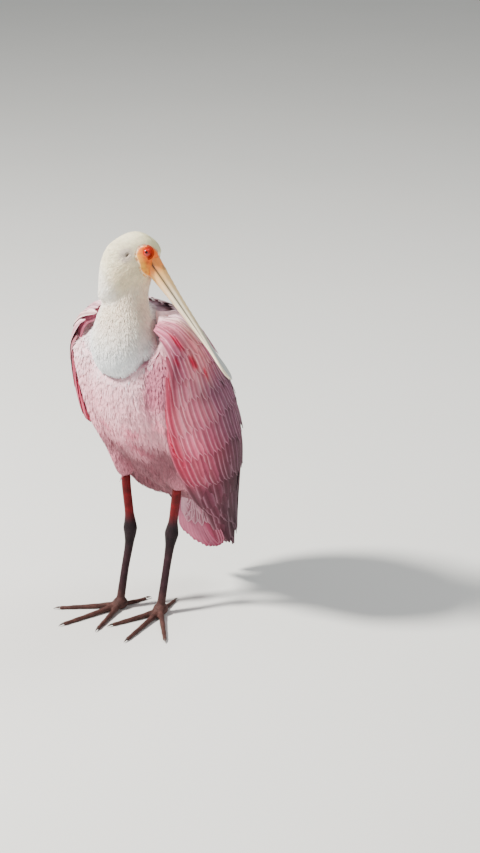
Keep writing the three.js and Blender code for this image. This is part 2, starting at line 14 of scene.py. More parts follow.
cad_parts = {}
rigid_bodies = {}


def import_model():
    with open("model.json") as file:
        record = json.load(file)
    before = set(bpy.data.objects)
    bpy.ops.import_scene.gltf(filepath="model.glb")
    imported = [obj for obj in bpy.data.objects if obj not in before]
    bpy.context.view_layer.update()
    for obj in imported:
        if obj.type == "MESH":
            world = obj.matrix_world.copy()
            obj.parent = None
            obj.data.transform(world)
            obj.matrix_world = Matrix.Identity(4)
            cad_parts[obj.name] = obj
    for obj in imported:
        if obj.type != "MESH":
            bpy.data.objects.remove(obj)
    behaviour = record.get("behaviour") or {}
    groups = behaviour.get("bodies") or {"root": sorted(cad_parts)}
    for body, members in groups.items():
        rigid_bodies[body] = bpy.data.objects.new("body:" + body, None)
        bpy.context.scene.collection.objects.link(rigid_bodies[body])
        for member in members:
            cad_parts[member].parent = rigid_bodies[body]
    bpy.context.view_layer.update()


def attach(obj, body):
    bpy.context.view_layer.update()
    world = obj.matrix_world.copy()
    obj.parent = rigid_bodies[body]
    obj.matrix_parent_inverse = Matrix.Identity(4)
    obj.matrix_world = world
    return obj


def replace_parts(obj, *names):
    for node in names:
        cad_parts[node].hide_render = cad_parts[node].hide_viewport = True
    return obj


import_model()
rng = np.random.default_rng(7)

# Named sizes and places, the same as in the part's source
MIDDLE = np.array([24.8, 27.5, 0.0])
BODY_TOP = np.array([8, -29.5, 388.0])
PITCH = math.radians(64)
ALONG = np.array([0, math.cos(PITCH), -math.sin(PITCH)])
BACK = np.array([0, math.sin(PITCH), math.cos(PITCH)])
LEFT = np.array([1.0, 0, 0])
WING_TIP = 390
WING_START = -8
SQUARENESS = 0.9
MIDLINE_GAP = 0.4
RIGHT_WRAP = 9
RIGHT_DRAW = 42
RIGHT_DRAW_SPAN = (105, 190)

HEAD_MIDDLE = np.array([29.2, -10.1, 467.9])
EYE_RADIUS = 6.0
BILL_BASE = 6
BILL_TIP = 174

TAIL_ROOT = 272
TAIL_TIP = 355
TAIL_DEPTH = -8
TAIL_DROP = 12
TAIL_FAN = math.radians(21)

LEGS = {
    "right": {"exit": np.array([-27, 4, 177.0]), "ankle": np.array([-25, 7.5, 99.0])},
    "left": {"exit": np.array([41, 21, 171.0]), "ankle": np.array([22.5, 30.2, 101.0])},
}


def unit(v):
    v = np.asarray(v, dtype=float)
    return v / np.maximum(np.linalg.norm(v, axis=-1, keepdims=True), 1e-9)


FORWARD = unit([0.607, 0.117, -0.785])
_crown = unit([0.591, 0.602, 0.547])
HEAD_LEFT = unit(np.cross(_crown, FORWARD))
CROWN = unit(np.cross(FORWARD, HEAD_LEFT))


def row(points):
    return (np.asarray(points, dtype=float) - MIDDLE) * 0.001


def bird(points):
    return np.asarray(points, dtype=float) * 1000 + MIDDLE


def in_head(f, c, side):
    return HEAD_MIDDLE + FORWARD * f + CROWN * c + HEAD_LEFT * side


def in_body(s, x, d):
    s, x, d = (np.asarray(v, dtype=float)[..., None] for v in (s, x, d))
    return BODY_TOP + ALONG * s + LEFT * x + BACK * d


def smooth(a, b, x):
    t = np.clip((np.asarray(x, dtype=float) - a) / (b - a), 0, 1)
    return t * t * (3 - 2 * t)


def mix(a, b, t):
    """From a to b by the share t. a and b may be numbers, or colours and points of three values."""
    a, b, t = np.asarray(a, dtype=float), np.asarray(b, dtype=float), np.asarray(t, dtype=float)
    if t.ndim and 3 in (a.shape[-1:] + b.shape[-1:]):
        t = t[..., None]
    return a * (1 - t) + b * t


def oval(x, y, middle, half):
    """0 in the middle of an oval, 1 on it and more outside it."""
    return ((x - middle[0]) / half[0]) ** 2 + ((y - middle[1]) / half[1]) ** 2


def track(rows):
    """A smooth curve through rows of [position, value, value, ...]."""
    table = np.array(rows, dtype=float)
    at, values = table[:, 0], table[:, 1:]
    slopes = np.empty_like(values)
    slopes[1:-1] = (values[2:] - values[:-2]) / (at[2:] - at[:-2])[:, None]
    slopes[0] = (values[1] - values[0]) / (at[1] - at[0])
    slopes[-1] = (values[-1] - values[-2]) / (at[-1] - at[-2])

    def read(x):
        x = np.clip(np.asarray(x, dtype=float), at[0], at[-1])
        i = np.clip(np.searchsorted(at, x, side="left") - 1, 0, len(at) - 2)
        h = (at[i + 1] - at[i])[..., None]
        t = ((x - at[i]) / (at[i + 1] - at[i]))[..., None]
        rise = values[i + 1] - values[i]
        m0, m1 = slopes[i] * h, slopes[i + 1] * h
        out = values[i] + t * (m0 + t * (3 * rise - 2 * m0 - m1 + t * (m0 + m1 - 2 * rise)))
        return tuple(np.moveaxis(out, -1, 0))

    return read


def wobble(points, size, seed=0.0):
    """Soft steady unevenness between about -1 and 1."""
    p = np.asarray(points, dtype=float) / size
    a = np.sin(p[..., 0] * 2.1 + seed + 1.3 * np.sin(p[..., 1] * 1.7 + seed * 2.0))
    b = np.sin(p[..., 1] * 2.3 - seed + 1.1 * np.sin(p[..., 2] * 1.9 - seed))
    c = np.sin(p[..., 2] * 2.7 + seed * 0.5 + 1.2 * np.sin(p[..., 0] * 1.5 + seed))
    return (a + b + c) / 3


# Meshes

def new_object(name, data):
    obj = bpy.data.objects.new(name, data)
    bpy.context.scene.collection.objects.link(obj)
    return obj


def plain_mesh(obj):
    """What an object's modifiers make of it, as a plain mesh. The object is removed."""
    graph = bpy.context.evaluated_depsgraph_get()
    result = bpy.data.meshes.new_from_object(obj.evaluated_get(graph))
    source = obj.data
    bpy.data.objects.remove(obj)
    bpy.data.meshes.remove(source)
    return result


def read(items, key, width, kind=float):
    """One value of all of a mesh's points, corners or faces, as rows."""
    values = np.empty(len(items) * width, dtype=kind)
    items.foreach_get(key, values)
    return values.reshape(-1, width)


def finish_piece(name, mesh, slot, material=None, tint=None, uvs=None):
    """Makes a mesh a piece of the bird. tint and each UV map have a row for each point."""
    if tint is not None:
        layer = mesh.color_attributes.new(name="tint", type="FLOAT_COLOR", domain="POINT")
        colours = np.ones((len(mesh.vertices), 4), dtype=np.float32)
        colours[:, :3] = tint
        layer.data.foreach_set("color", colours.ravel())
    corners = read(mesh.loops, "vertex_index", 1, np.int32).ravel()
    for key, values in (uvs or {}).items():
        layer = mesh.uv_layers.new(name=key)
        layer.data.foreach_set("uv", np.asarray(values)[corners].astype(np.float32).ravel())
    mesh.polygons.foreach_set("use_smooth", np.ones(len(mesh.polygons), dtype=bool))
    if material is not None:
        mesh.materials.append(material)
    obj = new_object(name, mesh)
    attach(obj, "root")
    return obj


def mesh_object(name, points, faces, material, slot, **layers):
    """A piece from points in bird millimetres and an array of faces."""
    faces = np.asarray(faces, dtype=np.int32)
    starts = np.arange(0, faces.size, faces.shape[1], dtype=np.int32)
    mesh = bpy.data.meshes.new(name)
    mesh.vertices.add(len(points))
    mesh.vertices.foreach_set("co", row(points).astype(np.float32).ravel())
    mesh.loops.add(faces.size)
    mesh.loops.foreach_set("vertex_index", faces.ravel())
    mesh.polygons.add(len(faces))
    mesh.polygons.foreach_set("loop_start", starts)
    mesh.update(calc_edges=True)
    mesh.validate()
    return finish_piece(name, mesh, slot, material, **layers)


def grid_faces(rows, columns, wrap=False):
    """Quads of a grid of points laid row after row."""
    last = columns if wrap else columns - 1
    i, j = np.meshgrid(np.arange(rows - 1), np.arange(last), indexing="ij")
    k = (j + 1) % columns
    a, b = i * columns, (i + 1) * columns
    return np.stack([a + j, a + k, b + k, b + j], axis=-1).reshape(-1, 4)


# Materials

class NodeTree:
    """A node tree whose nodes are made together with what feeds them."""

    def __init__(self, tree):
        self.tree = tree

    def feed(self, socket, value):
        """Gives a socket a value of its own or another node's output."""
        if isinstance(value, bpy.types.NodeSocket):
            self.tree.links.new(value, socket)
        elif isinstance(value, tuple):
            socket.default_value = (*value, 1.0)[:len(socket.default_value)]
        elif value is not None:
            socket.default_value = value

    def add(self, kind, inputs=None, **settings):
        node = self.tree.nodes.new(kind)
        for key, value in settings.items():
            setattr(node, key, value)
        for key, value in (inputs or {}).items():
            self.feed(node.inputs[key], value)
        return node


class Finish(NodeTree):
    """A material, with helpers named by what their nodes do."""

    def __init__(self, name, roughness=0.7, **sockets):
        self.material = bpy.data.materials.new(name)
        self.material.use_nodes = True
        super().__init__(self.material.node_tree)
        self.shader = self.tree.nodes["Principled BSDF"].inputs
        for key, value in {"Roughness": roughness, **sockets}.items():
            self.shader[key.replace("_", " ")].default_value = value

    def tint(self):
        return self.add("ShaderNodeVertexColor", layer_name="tint").outputs["Color"]

    def noise(self, scale, detail=3.0):
        place = self.add("ShaderNodeTexCoord").outputs["Object"]
        given = {"Vector": place, "Scale": scale, "Detail": detail}
        return self.add("ShaderNodeTexNoise", given).outputs["Fac"]

    def spread(self, value, low, high, to_low=0.0, to_high=1.0):
        given = {"Value": value, "From Min": low, "From Max": high,
                 "To Min": to_low, "To Max": to_high}
        return self.add("ShaderNodeMapRange", given).outputs["Result"]

    def maths(self, operation, a, b=None):
        return self.add("ShaderNodeMath", {0: a, 1: b}, operation=operation).outputs[0]

    def blend(self, factor, a, b, mode="MIX"):
        given = {0: factor, 6: a, 7: b}
        return self.add("ShaderNodeMix", given, data_type="RGBA", blend_type=mode).outputs[2]

    def uneven(self, tone, grey):
        """A tone made darker and lighter by a grey value."""
        grey = self.add("ShaderNodeCombineColor", {0: grey, 1: grey, 2: grey}).outputs[0]
        return self.blend(1.0, tone, grey, "MULTIPLY")

    def colour(self, value):
        self.feed(self.shader["Base Color"], value)

    def bump(self, height, strength, distance):
        given = {"Height": height, "Strength": strength, "Distance": distance}
        self.feed(self.shader["Normal"], self.add("ShaderNodeBump", given).outputs["Normal"])


def feather_material(name, edge, root_shade, barbs, fluff=0.0, streak=0.0,
                     root_colour=(0.34, 0.16, 0.2)):
    """Vanes: tinted, paler at the edges, darker towards the root, with fine slanting barbs."""
    m = Finish(name, roughness=0.85, Specular_IOR_Level=0.12, Sheen_Weight=0.05,
               Sheen_Roughness=0.5)
    uv = m.add("ShaderNodeUVMap", uv_map="vane").outputs["UV"]
    parts = m.add("ShaderNodeSeparateXYZ", {0: uv})
    along, across = parts.outputs["X"], parts.outputs["Y"]
    side = m.maths("ABSOLUTE", m.maths("SUBTRACT", across, 0.5))
    tint = m.tint()
    lighter = m.add("ShaderNodeGamma", {"Color": tint, "Gamma": 0.5}).outputs[0]
    rim = m.spread(side, 0.12, 0.5)
    tone = m.blend(rim, tint, m.blend(edge, tint, lighter))
    dark = m.blend(root_shade, tint, root_colour, "MULTIPLY")
    tone = m.blend(m.spread(along, 0.0, 0.62, 1.0, 0.0), tone, dark)
    web = m.maths("MULTIPLY", m.spread(across, 0.5, 0.62), m.spread(across, 0.82, 0.94, 1.0, 0.0))
    tone = m.blend(m.maths("MULTIPLY", web, streak), tone, dark)
    shaft = m.spread(side, 0.0, 0.035, 0.35, 0.0)
    tone = m.blend(shaft, tone, dark)
    m.colour(m.uneven(tone, m.spread(m.noise(180.0), 0.3, 0.7, 0.9, 1.08)))
    slant = m.maths("MULTIPLY", side, -barbs * 0.45)
    ridges = m.maths("SINE", m.maths("ADD", m.maths("MULTIPLY", along, barbs), slant))
    fuzz = m.maths("MULTIPLY", m.noise(900.0), 1.0 + fluff)
    m.bump(m.maths("ADD", ridges, fuzz), 0.3, 0.0004)
    return m.material


def skin_material():
    """The down under the coat, and the bare skin of the face where the tint says so."""
    m = Finish("plumage_skin", Specular_IOR_Level=0.2)
    m.colour(m.uneven(m.tint(), m.spread(m.noise(240.0, 4.0), 0.3, 0.7, 0.86, 1.1)))
    m.bump(m.noise(1100.0, 4.0), 0.4, 0.0006)
    return m.material


def bill_material():
    """Satin horn with a faint mottle."""
    m = Finish("bill_horn", roughness=0.42, Specular_IOR_Level=0.45, Coat_Weight=0.12)
    mottle = m.maths("MULTIPLY", m.spread(m.noise(190.0, 5.0), 0.35, 0.7), 0.1)
    m.colour(m.blend(mottle, m.tint(), (0.36, 0.33, 0.25), "MULTIPLY"))
    m.bump(m.noise(520.0, 5.0), 0.35, 0.0007)
    return m.material


def leg_material():
    """Scaled skin: small many-sided scutes, a little taller than they are wide."""
    m = Finish("leg_scutes", roughness=0.6, Specular_IOR_Level=0.14)
    place = m.add("ShaderNodeTexCoord").outputs["Object"]
    taller = m.add("ShaderNodeMapping", {"Vector": place, "Scale": (1.0, 1.0, 0.72)})
    cells = m.add("ShaderNodeTexVoronoi", {"Vector": taller.outputs["Vector"], "Scale": 520.0},
                  feature="DISTANCE_TO_EDGE")
    plate = m.spread(cells.outputs["Distance"], 0.0, 0.12)
    tone = m.uneven(m.tint(), m.spread(m.noise(150.0, 4.0), 0.35, 0.7, 0.75, 1.25))
    m.colour(m.blend(plate, m.blend(0.55, tone, (0.02, 0.01, 0.01)), tone))
    m.bump(plate, 0.5, 0.0005)
    return m.material


def eye_material():
    """Wet and red, with fine streaks."""
    m = Finish("eye_red", roughness=0.12, Specular_IOR_Level=0.4, Coat_Weight=0.25,
               Coat_Roughness=0.02)
    m.colour(m.uneven(m.tint(), m.spread(m.noise(1500.0), 0.3, 0.7, 0.75, 1.2)))
    return m.material


def lid_material():
    m = Finish("eyelid_skin", roughness=0.65, Specular_IOR_Level=0.15)
    folds = m.spread(m.noise(900.0), 0.35, 0.65, 0.0, 0.6)
    m.colour(m.blend(folds, (0.36, 0.016, 0.002), (0.22, 0.006, 0.001)))
    m.bump(m.noise(1800.0, 4.0), 0.4, 0.0004)
    return m.material


def claw_material():
    m = Finish("claw_horn", roughness=0.35, Specular_IOR_Level=0.5)
    m.colour(m.blend(m.noise(300.0), (0.045, 0.03, 0.03), (0.11, 0.07, 0.06)))
    m.bump(m.noise(700.0), 0.2, 0.0003)
    return m.material


MAT = {
    "down": feather_material("white_down", edge=0.0, root_shade=0.3, barbs=120.0, fluff=1.0,
                             root_colour=(0.72, 0.68, 0.62)),
    "body": feather_material("body_feather", edge=0.2, root_shade=0.5, barbs=90.0, fluff=0.6,
                             root_colour=(0.6, 0.36, 0.4)),
    "wing": feather_material("wing_feather", edge=0.52, root_shade=0.85, barbs=210.0, streak=0.7),
    "skin": skin_material(),
    "bill": bill_material(),
    "leg": leg_material(),
    "eye": eye_material(),
    "lid": lid_material(),
    "claw": claw_material(),
}

# Colours, in linear light
CREAM = np.array([0.93, 0.84, 0.6])
WARM_CREAM = np.array([0.94, 0.76, 0.5])
CROWN_GREEN = np.array([0.84, 0.84, 0.5])
WHITE = np.array([0.93, 0.9, 0.86])
BLUE_WHITE = np.array([0.84, 0.88, 0.9])
EAR_MAUVE = np.array([0.44, 0.35, 0.38])
PINK_WHITE = np.array([0.95, 0.66, 0.7])
PALE_PINK = np.array([0.9, 0.3, 0.4])
ROSE = np.array([0.72, 0.08, 0.18])
DUSTY = np.array([0.15, 0.05, 0.065])
CARMINE = np.array([0.58, 0.004, 0.05])
MAUVE = np.array([0.17, 0.07, 0.12])
MAUVE_GREY = np.array([0.28, 0.17, 0.24])
FACE_ORANGE = np.array([0.92, 0.17, 0.02])
GAPE_YELLOW = np.array([0.95, 0.42, 0.05])


# The shape that the folded wings make

wing_section = track([
    [-12, 46, 32, 28], [8, 72, 52, 48], [40, 86, 65, 63], [80, 90, 72, 76], [130, 92, 77, 80],
    [190, 85, 73, 72], [240, 70, 62, 58], [290, 50, 48, 40], [340, 33, 32, 24], [390, 18, 12, 8],
])
wing_edges = track([
    [-8, 36, 92], [40, 22, 120], [90, 12, 133], [150, 6, 138], [212, 4, 138], [264, 3, 137],
    [316, 3, 132], [355, 3, 116], [390, 3, 60],
])


def on_wing(s, degrees, side, lift):
    """Points on the wings' surface, lifted off it, and how long a degree is there."""
    given = (np.asarray(v, dtype=float) for v in (s, degrees, lift))
    s, degrees, lift = np.broadcast_arrays(*given)
    if side < 0:
        wrap = smooth(85, 125, degrees) * smooth(-10, 20, s) * smooth(250, 180, s)
        drawn_in = smooth(95, 138, degrees) * smooth(*RIGHT_DRAW_SPAN, s)
        degrees = degrees + RIGHT_WRAP * wrap - RIGHT_DRAW * drawn_in

    def place(at, angle):
        half, back, front = wing_section(at)
        sine, cosine = np.sin(angle), np.cos(angle)
        sine = np.sign(sine) * np.abs(sine) ** SQUARENESS
        cosine = np.sign(cosine) * np.abs(cosine) ** SQUARENESS
        return in_body(at, side * half * sine, cosine * np.where(cosine > 0, back, front))

    angle, step = np.radians(degrees), 0.02
    by_s = place(s + 0.5, angle) - place(s - 0.5, angle)
    by_angle = place(s, angle + step) - place(s, angle - step)
    normal = unit(np.cross(by_angle, by_s)) * side
    per_degree = np.linalg.norm(by_angle, axis=-1) / math.degrees(2 * step)
    return place(s, angle) + normal * lift[..., None], per_degree


def keep_to_side(points, side):
    """Moves a wing's points to its own side of the middle line where they cross it."""
    limit = np.maximum if side > 0 else np.minimum
    points[..., 0] = limit(points[..., 0], side * MIDLINE_GAP + BODY_TOP[0])


# Vanes

EDGE_DIVE = 5.0
ROOT_SHARE = 0.15
ROOT_SINK = -2.5
VANE_OUTLINE = track([
    [0, 0.18], [0.12, 0.62], [0.45, 0.96], [0.78, 1.0], [0.93, 0.72], [1.0, 0.12],
])
PATCH_SIZE = 0.003


def bake_patch(root, place):
    """A small patch at the root's place on the unwrapped skin."""
    return root + (place - 0.5) * PATCH_SIZE


class Vanes:
    """Collects single feathers and joins them into one mesh."""

    def __init__(self):
        self.points, self.faces, self.tints, self.vane, self.bake = [], [], [], [], []
        self.count = 0

    def grid(self, points, along, across, tint, root):
        """points has the shape (rows, columns, 3), and the rest is spread over its grid."""
        shape = points.shape[:2]
        place = np.stack([np.broadcast_to(v, shape).ravel() for v in (along, across)], axis=-1)
        self.faces.append(grid_faces(*shape) + self.count)
        self.count += len(place)
        self.points.append(points.reshape(-1, 3))
        self.tints.append(np.broadcast_to(tint, points.shape).reshape(-1, 3))
        self.vane.append(place)
        self.bake.append(bake_patch(root, place))

    def build(self, name, material, slot):
        points, faces, tints, vane, bake = (
            np.concatenate(v) for v in (self.points, self.faces, self.tints, self.vane, self.bake))
        return mesh_object(name, points, faces, material, slot, tint=tints,
                           uvs={"vane": vane, "OFBake": bake})


def wing_bake(s, degrees, side):
    """The wings' surface unrolled: along it and round it, in the map's upper strip."""
    u = (s - WING_START) / (WING_TIP - WING_START)
    v = degrees / 145
    return np.stack([0.02 + 0.46 * u + (0.5 if side > 0 else 0.0), 0.74 + 0.24 * v], axis=-1)


def wing_vane(out, side, start, end, width, lift, tint, bow=0.0, roll=0.5, cup=0.5, rows=11,
              columns=5, root_shows=False):
    """One feather on the wing. start and end are (distance along the body, degrees round it)."""
    t = np.linspace(0, 1, rows)[:, None]
    v = np.linspace(-1, 1, columns)[None, :]
    s0 = mix(start[0], end[0], t)
    a0 = mix(start[1], end[1], t) + bow * np.sin(math.pi * t)
    per_degree = on_wing(s0, a0, side, 0)[1]
    step_s = end[0] - start[0]
    step_a = (end[1] - start[1] + bow * math.pi * np.cos(math.pi * t)) * per_degree
    length = np.hypot(step_s, step_a)
    half = width / 2 * VANE_OUTLINE(t)[0]
    offset = half * v
    s = s0 - offset * step_a / length
    a = a0 + offset * step_s / length / per_degree
    rise = np.where(t < ROOT_SHARE, mix(ROOT_SINK, lift[0], t / ROOT_SHARE),
                    mix(lift[0], lift[1], (t - ROOT_SHARE) / (1 - ROOT_SHARE)))
    rise = rise + roll * v * smooth(0.05, 0.3, t) - cup * v * v * half / (width / 2)
    rise = rise + 0.5 * wobble(np.stack([s, a, s], -1), 26, start[0] + start[1])
    front = wing_edges(s)[1]
    rise = rise - EDGE_DIVE * (smooth(-7, 4, a - front) + smooth(6, -10, s))
    points = on_wing(s, a, side, rise)[0]
    keep_to_side(points, side)
    shade = tint(s, a) if callable(tint) else tint
    if side < 0:
        paler = 0.7 * smooth(95, 30, s) * smooth(125, 95, a) * smooth(50, 75, a)
        shade = mix(shade, PINK_WHITE, paler)
    shade = np.clip(shade * (1 + 0.1 * rng.normal()) * (1, 1 + 0.05 * rng.normal(), 1), 0, 0.96)
    along = mix(0.6, 1, t) if root_shows else t
    out.grid(points, along, v / 2 + 0.5, shade, wing_bake(start[0], start[1], side))


def wing_tint(s, degrees):
    """The wing's colours: white shoulders, pink coverts, carmine front edge, a mauve back and dark
    lower end that are partly painted shade, and a painted shadow by the shoulder.
    """
    s = np.asarray(s, dtype=float)
    degrees = np.asarray(degrees, dtype=float)
    place = np.stack([s, degrees, s * 0.3 + degrees], -1)
    uneven = wobble(place, 26)
    tone = mix(PALE_PINK, mix(PALE_PINK, ROSE, 0.7), smooth(60, 170, s + 14 * uneven))
    # Mauve over the back of the wing: partly the feathers' own dusky tone, partly painted shade.
    tone = mix(tone, MAUVE, 0.9 * smooth(116, 84, degrees + 7 * uneven) * smooth(30, 100, s))
    # Darker and duskier towards the lower end of the wing, here and again below: partly the
    # feathers' own tone, partly painted shade.
    tone = mix(tone, mix(ROSE, MAUVE, 0.78) * 0.55, smooth(130, 250, s + 16 * uneven) * 0.9)
    low = smooth(230, 320, s) * smooth(128, 90, degrees) * 0.8
    tone = mix(tone, mix(MAUVE, DUSTY, 0.6) * 0.7, low)
    white = smooth(80, 60, degrees) * smooth(48, 18, s)
    tone = mix(tone, PINK_WHITE, 0.95 * white)
    front = smooth(-16, -4, degrees - wing_edges(s)[1]) * smooth(10, 70, s) * smooth(230, 160, s)
    tone = mix(tone, mix(ROSE, CARMINE, 0.5), front * 0.85)
    # Painted shadow: rose mauve in a band inside the front edge near the shoulder.
    painted_shoulder_shadow = smooth(-34, -12, degrees - wing_edges(s)[1]) * smooth(90, 30, s)
    # Partly painted shade: the wing made darker still towards its lower end.
    tone = tone * (1 - 0.38 * smooth(110, 250, s + 10 * uneven))[..., None]
    return mix(tone, mix(ROSE, MAUVE, 0.75), 0.65 * painted_shoulder_shadow)


CARMINE_FLECKS = [
    ((14, 91), (13, 3.6)), ((43, 90), (12, 3.4)), ((30, 104), (9, 2.4)), ((66, 84), (10, 2.6)),
]


def covert_tint(s, degrees):
    """The wing's colours and painted shade from wing_tint, with the carmine flecks of the small
    coverts.
    """
    tone = wing_tint(s, degrees)
    for spot, reach in CARMINE_FLECKS:
        tone = mix(tone, CARMINE, 0.95 * smooth(1.0, 0.3, oval(s, degrees, spot, reach)))
    return tone


def back_tint(s, degrees):
    tone = wing_tint(s, degrees)
    # Greyed towards mauve near the top: painted shade over the shoulder feathers' own pinkish
    # white.
    return mix(tone, mix(PINK_WHITE, MAUVE, 0.45), 0.6 * smooth(240, 60, s))


# Tiers of one wing: name, count, first and last root, first and last tip, width, lift near the
# root and at the tip, and bow. Roots and tips are (distance along the body, degrees round it).
WING_TIERS = [
    ("primaries", 9, ((252, 56), (214, 126)), ((387, 36), (360, 116)), 18, (-0.8, -0.6), 2),
    ("secondaries", 19, ((232, 78), (120, 134)), ((360, 58), (268, 136)), 16, (-0.6, 0.9), 2),
    ("inner", 9, ((186, 8), (222, 66)), ((352, 10), (368, 56)), 18, (0.2, 1.8), 2),
    ("greater", 24, ((166, 36), (100, 131)), ((264, 36), (206, 136)), 12, (-0.2, 2.2), 2),
    ("median", 23, ((112, 36), (66, 126)), ((200, 38), (156, 132)), 11, (0.2, 2.6), 1),
    ("lesser_low", 21, ((76, 36), (42, 120)), ((150, 40), (116, 127)), 10, (0.2, 2.8), 1),
    ("lesser_mid", 19, ((46, 38), (20, 110)), ((112, 42), (84, 119)), 10, (0.2, 2.9), 0),
    ("lesser_high", 17, ((20, 40), (2, 101)), ((78, 44), (54, 110)), 10, (0.2, 2.9), 0),
    ("lesser_top", 14, ((0, 40), (-8, 92)), ((46, 44), (28, 99)), 10, (0.0, 2.4), 0),
]
# Rows of shoulder feathers: distance along the body, count and width
SCAPULARS = [(0, 5, 19), (34, 6, 20), (72, 6, 21), (112, 6, 22)]
# Rows along the front edge: degrees inside it and share of carmine
FRONT_ROWS = [(9, 0.25), (5, 0.5), (1.5, 0.75)]


def wing_feathers(side, label):
    out = Vanes()
    for name, count, roots, tips, width, lift, bow in WING_TIERS:
        small = name.startswith(("median", "lesser"))
        for i in range(count):
            u = i / (count - 1)
            jitter = rng.normal(0, 1, 4)
            root = mix(*roots, u) + jitter[:2] * (1.5, 0.5)
            tip = mix(*tips, u) + jitter[2:] * (3.5, 0.7)
            tip[0] = min(tip[0], WING_TIP - 3)
            wing_vane(out, side, root, tip, width * (1 + 0.07 * jitter[1]),
                      (lift[0], lift[1] + 0.25 * jitter[0]), covert_tint if small else wing_tint,
                      bow=bow, rows=11 if small else 15,
                      root_shows=name in ("lesser_top", "lesser_high"))
    scapulars(out, side)
    front_edge(out, side)
    return out.build("feathers_wing_" + label, MAT["wing"], "wing")


def scapulars(out, side):
    """Long soft shoulder feathers over the inner wing and the back."""
    for r, (first, count, width) in enumerate(SCAPULARS):
        for i in range(count):
            u = i / (count - 1)
            jitter = rng.normal(0, 1, 2)
            root = np.array([first + 8 * u + 2 * jitter[0], mix(3, 40 - 3 * r, u)])
            tip = root + np.array([82 + 10 * r + 4 * jitter[1], -1.0 - 2 * u])
            wing_vane(out, side, root, tip, width, (0.2 + 0.3 * r, 3.6), back_tint, roll=0.4,
                      rows=12, root_shows=True)


def front_edge(out, side):
    """Small marginal feathers along the leading edge of the folded wing."""
    for k, (inset, red) in enumerate(FRONT_ROWS):
        for s in np.arange(2, 170, 8.0):
            degrees = float(wing_edges(s)[1]) - inset
            root = np.array([s + 3 * (k % 2), degrees - 1.5])
            jitter = rng.normal(0, 1, 2)
            tip = root + np.array([30 + 2 * jitter[0], 1.8 + 0.5 * jitter[1]])
            carmine = red * float(smooth(15, 60, s) * smooth(180, 120, s))
            shade = mix(wing_tint(s, degrees), CARMINE, carmine)
            wing_vane(out, side, root, tip, 8.5, (-0.5, 0.6 + 0.3 * k), shade, roll=0.2,
                      cup=0.3, rows=7, columns=3)


def wing_shell(side, label):
    """The wing's flesh and down under its feathers, one closed shell in place of the solid wing."""
    rows, columns = 90, 40
    total = 2 * columns
    s = np.linspace(WING_START, WING_TIP - 30, rows)[:, None]
    back_edge, front = wing_edges(s)
    v = np.linspace(0, 1, columns)[None, :]
    degrees = mix(back_edge, front - 2, v)
    thick = 1 + 8 * np.sin(math.pi * v) ** 0.5 * (1 - 0.75 * (s - WING_START) / WING_TIP)
    under = -3.2 - 6 * (smooth(-14, -3, degrees - front) + smooth(14, -6, s))
    outer = on_wing(s, degrees, side, under)[0]
    inner = on_wing(s, degrees[:, ::-1], side, (under - thick)[:, ::-1])[0]
    ring = np.concatenate([outer, inner], axis=1)
    keep_to_side(ring, side)
    j = np.arange(columns - 1)
    cap = np.stack([j, j + 1, total - 2 - j, total - 1 - j], axis=-1)
    faces = np.concatenate([
        grid_faces(rows, total, wrap=True), cap[:, ::-1], cap + (rows - 1) * total,
    ])
    if side < 0:
        faces = faces[:, ::-1]
    both = np.concatenate([degrees, degrees[:, ::-1]], axis=1)
    along = np.broadcast_to(s, both.shape)
    tint = mix(wing_tint(along, both), DUSTY, 0.35 * smooth(10, 90, along))
    shell = mesh_object("wing_skin_" + label, ring.reshape(-1, 3), faces, MAT["skin"], "wing",
                        tint=tint.reshape(-1, 3),
                        uvs={"OFBake": wing_bake(along.ravel(), both.ravel(), side)})
    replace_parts(shell, "wing_" + label)


for wing_side, wing_label in ((1, "left"), (-1, "right")):
    wing_shell(wing_side, wing_label)
    wing_feathers(wing_side, wing_label)


# The body: one skin in place of the flesh nodes

def solid(node):
    """A node's points in bird millimetres and its triangles, with the doubled points joined."""
    mesh = bpy.data.objects[node].data
    world = np.array(bpy.data.objects[node].matrix_world)
    points = bird(read(mesh.vertices, "co", 3) @ world[:3, :3].T + world[:3, 3])
    mesh.calc_loop_triangles()
    triangles = read(mesh.loop_triangles, "vertices", 3, np.int32)
    _, first, joined = np.unique(np.round(points, 3), axis=0, return_index=True,
                                 return_inverse=True)
    return points[first], joined.ravel()[triangles]


def point_normals(points, faces):
    a, b, c = points[faces[:, 0]], points[faces[:, 1]], points[faces[:, -1]]
    across = np.cross(b - a, c - a)
    if faces.shape[1] == 4:
        across = np.cross(points[faces[:, 2]] - a, points[faces[:, 3]] - b)
    total = np.zeros_like(points)
    for k in range(faces.shape[1]):
        for axis in range(3):
            total[:, axis] += np.bincount(faces[:, k], across[:, axis], len(points))
    return unit(total)


def gather(nodes, grow=0.0):
    """The points and triangles of several nodes, and the number of each triangle's node."""
    points, faces, owner, count = [], [], [], 0
    for k, node in enumerate(nodes):
        p, f = solid(node)
        points.append(p + point_normals(p, f) * grow)
        faces.append(f + count)
        owner.append(np.full(len(f), k))
        count += len(p)
    return np.concatenate(points), np.concatenate(faces), np.concatenate(owner)


def remesh(nodes, grow, voxel):
    """One closed surface round several nodes, as even quads."""
    points, faces, _ = gather(nodes, grow)
    mesh = bpy.data.meshes.new("scratch")
    mesh.from_pydata(row(points).tolist(), [], faces.tolist())
    obj = new_object("scratch", mesh)
    modifier = obj.modifiers.new("even", "REMESH")
    modifier.mode = "VOXEL"
    modifier.voxel_size = voxel * 0.001
    result = plain_mesh(obj)
    points = bird(read(result.vertices, "co", 3))
    quads = read(result.loops, "vertex_index", 1, np.int32).reshape(-1, 4)
    bpy.data.meshes.remove(result)
    return points, quads


def edges_of(faces):
    a = faces.ravel()
    b = np.roll(faces, -1, axis=1).ravel()
    pairs = np.unique(np.sort(np.stack([a, b], 1), axis=1), axis=0)
    return pairs[:, 0], pairs[:, 1]


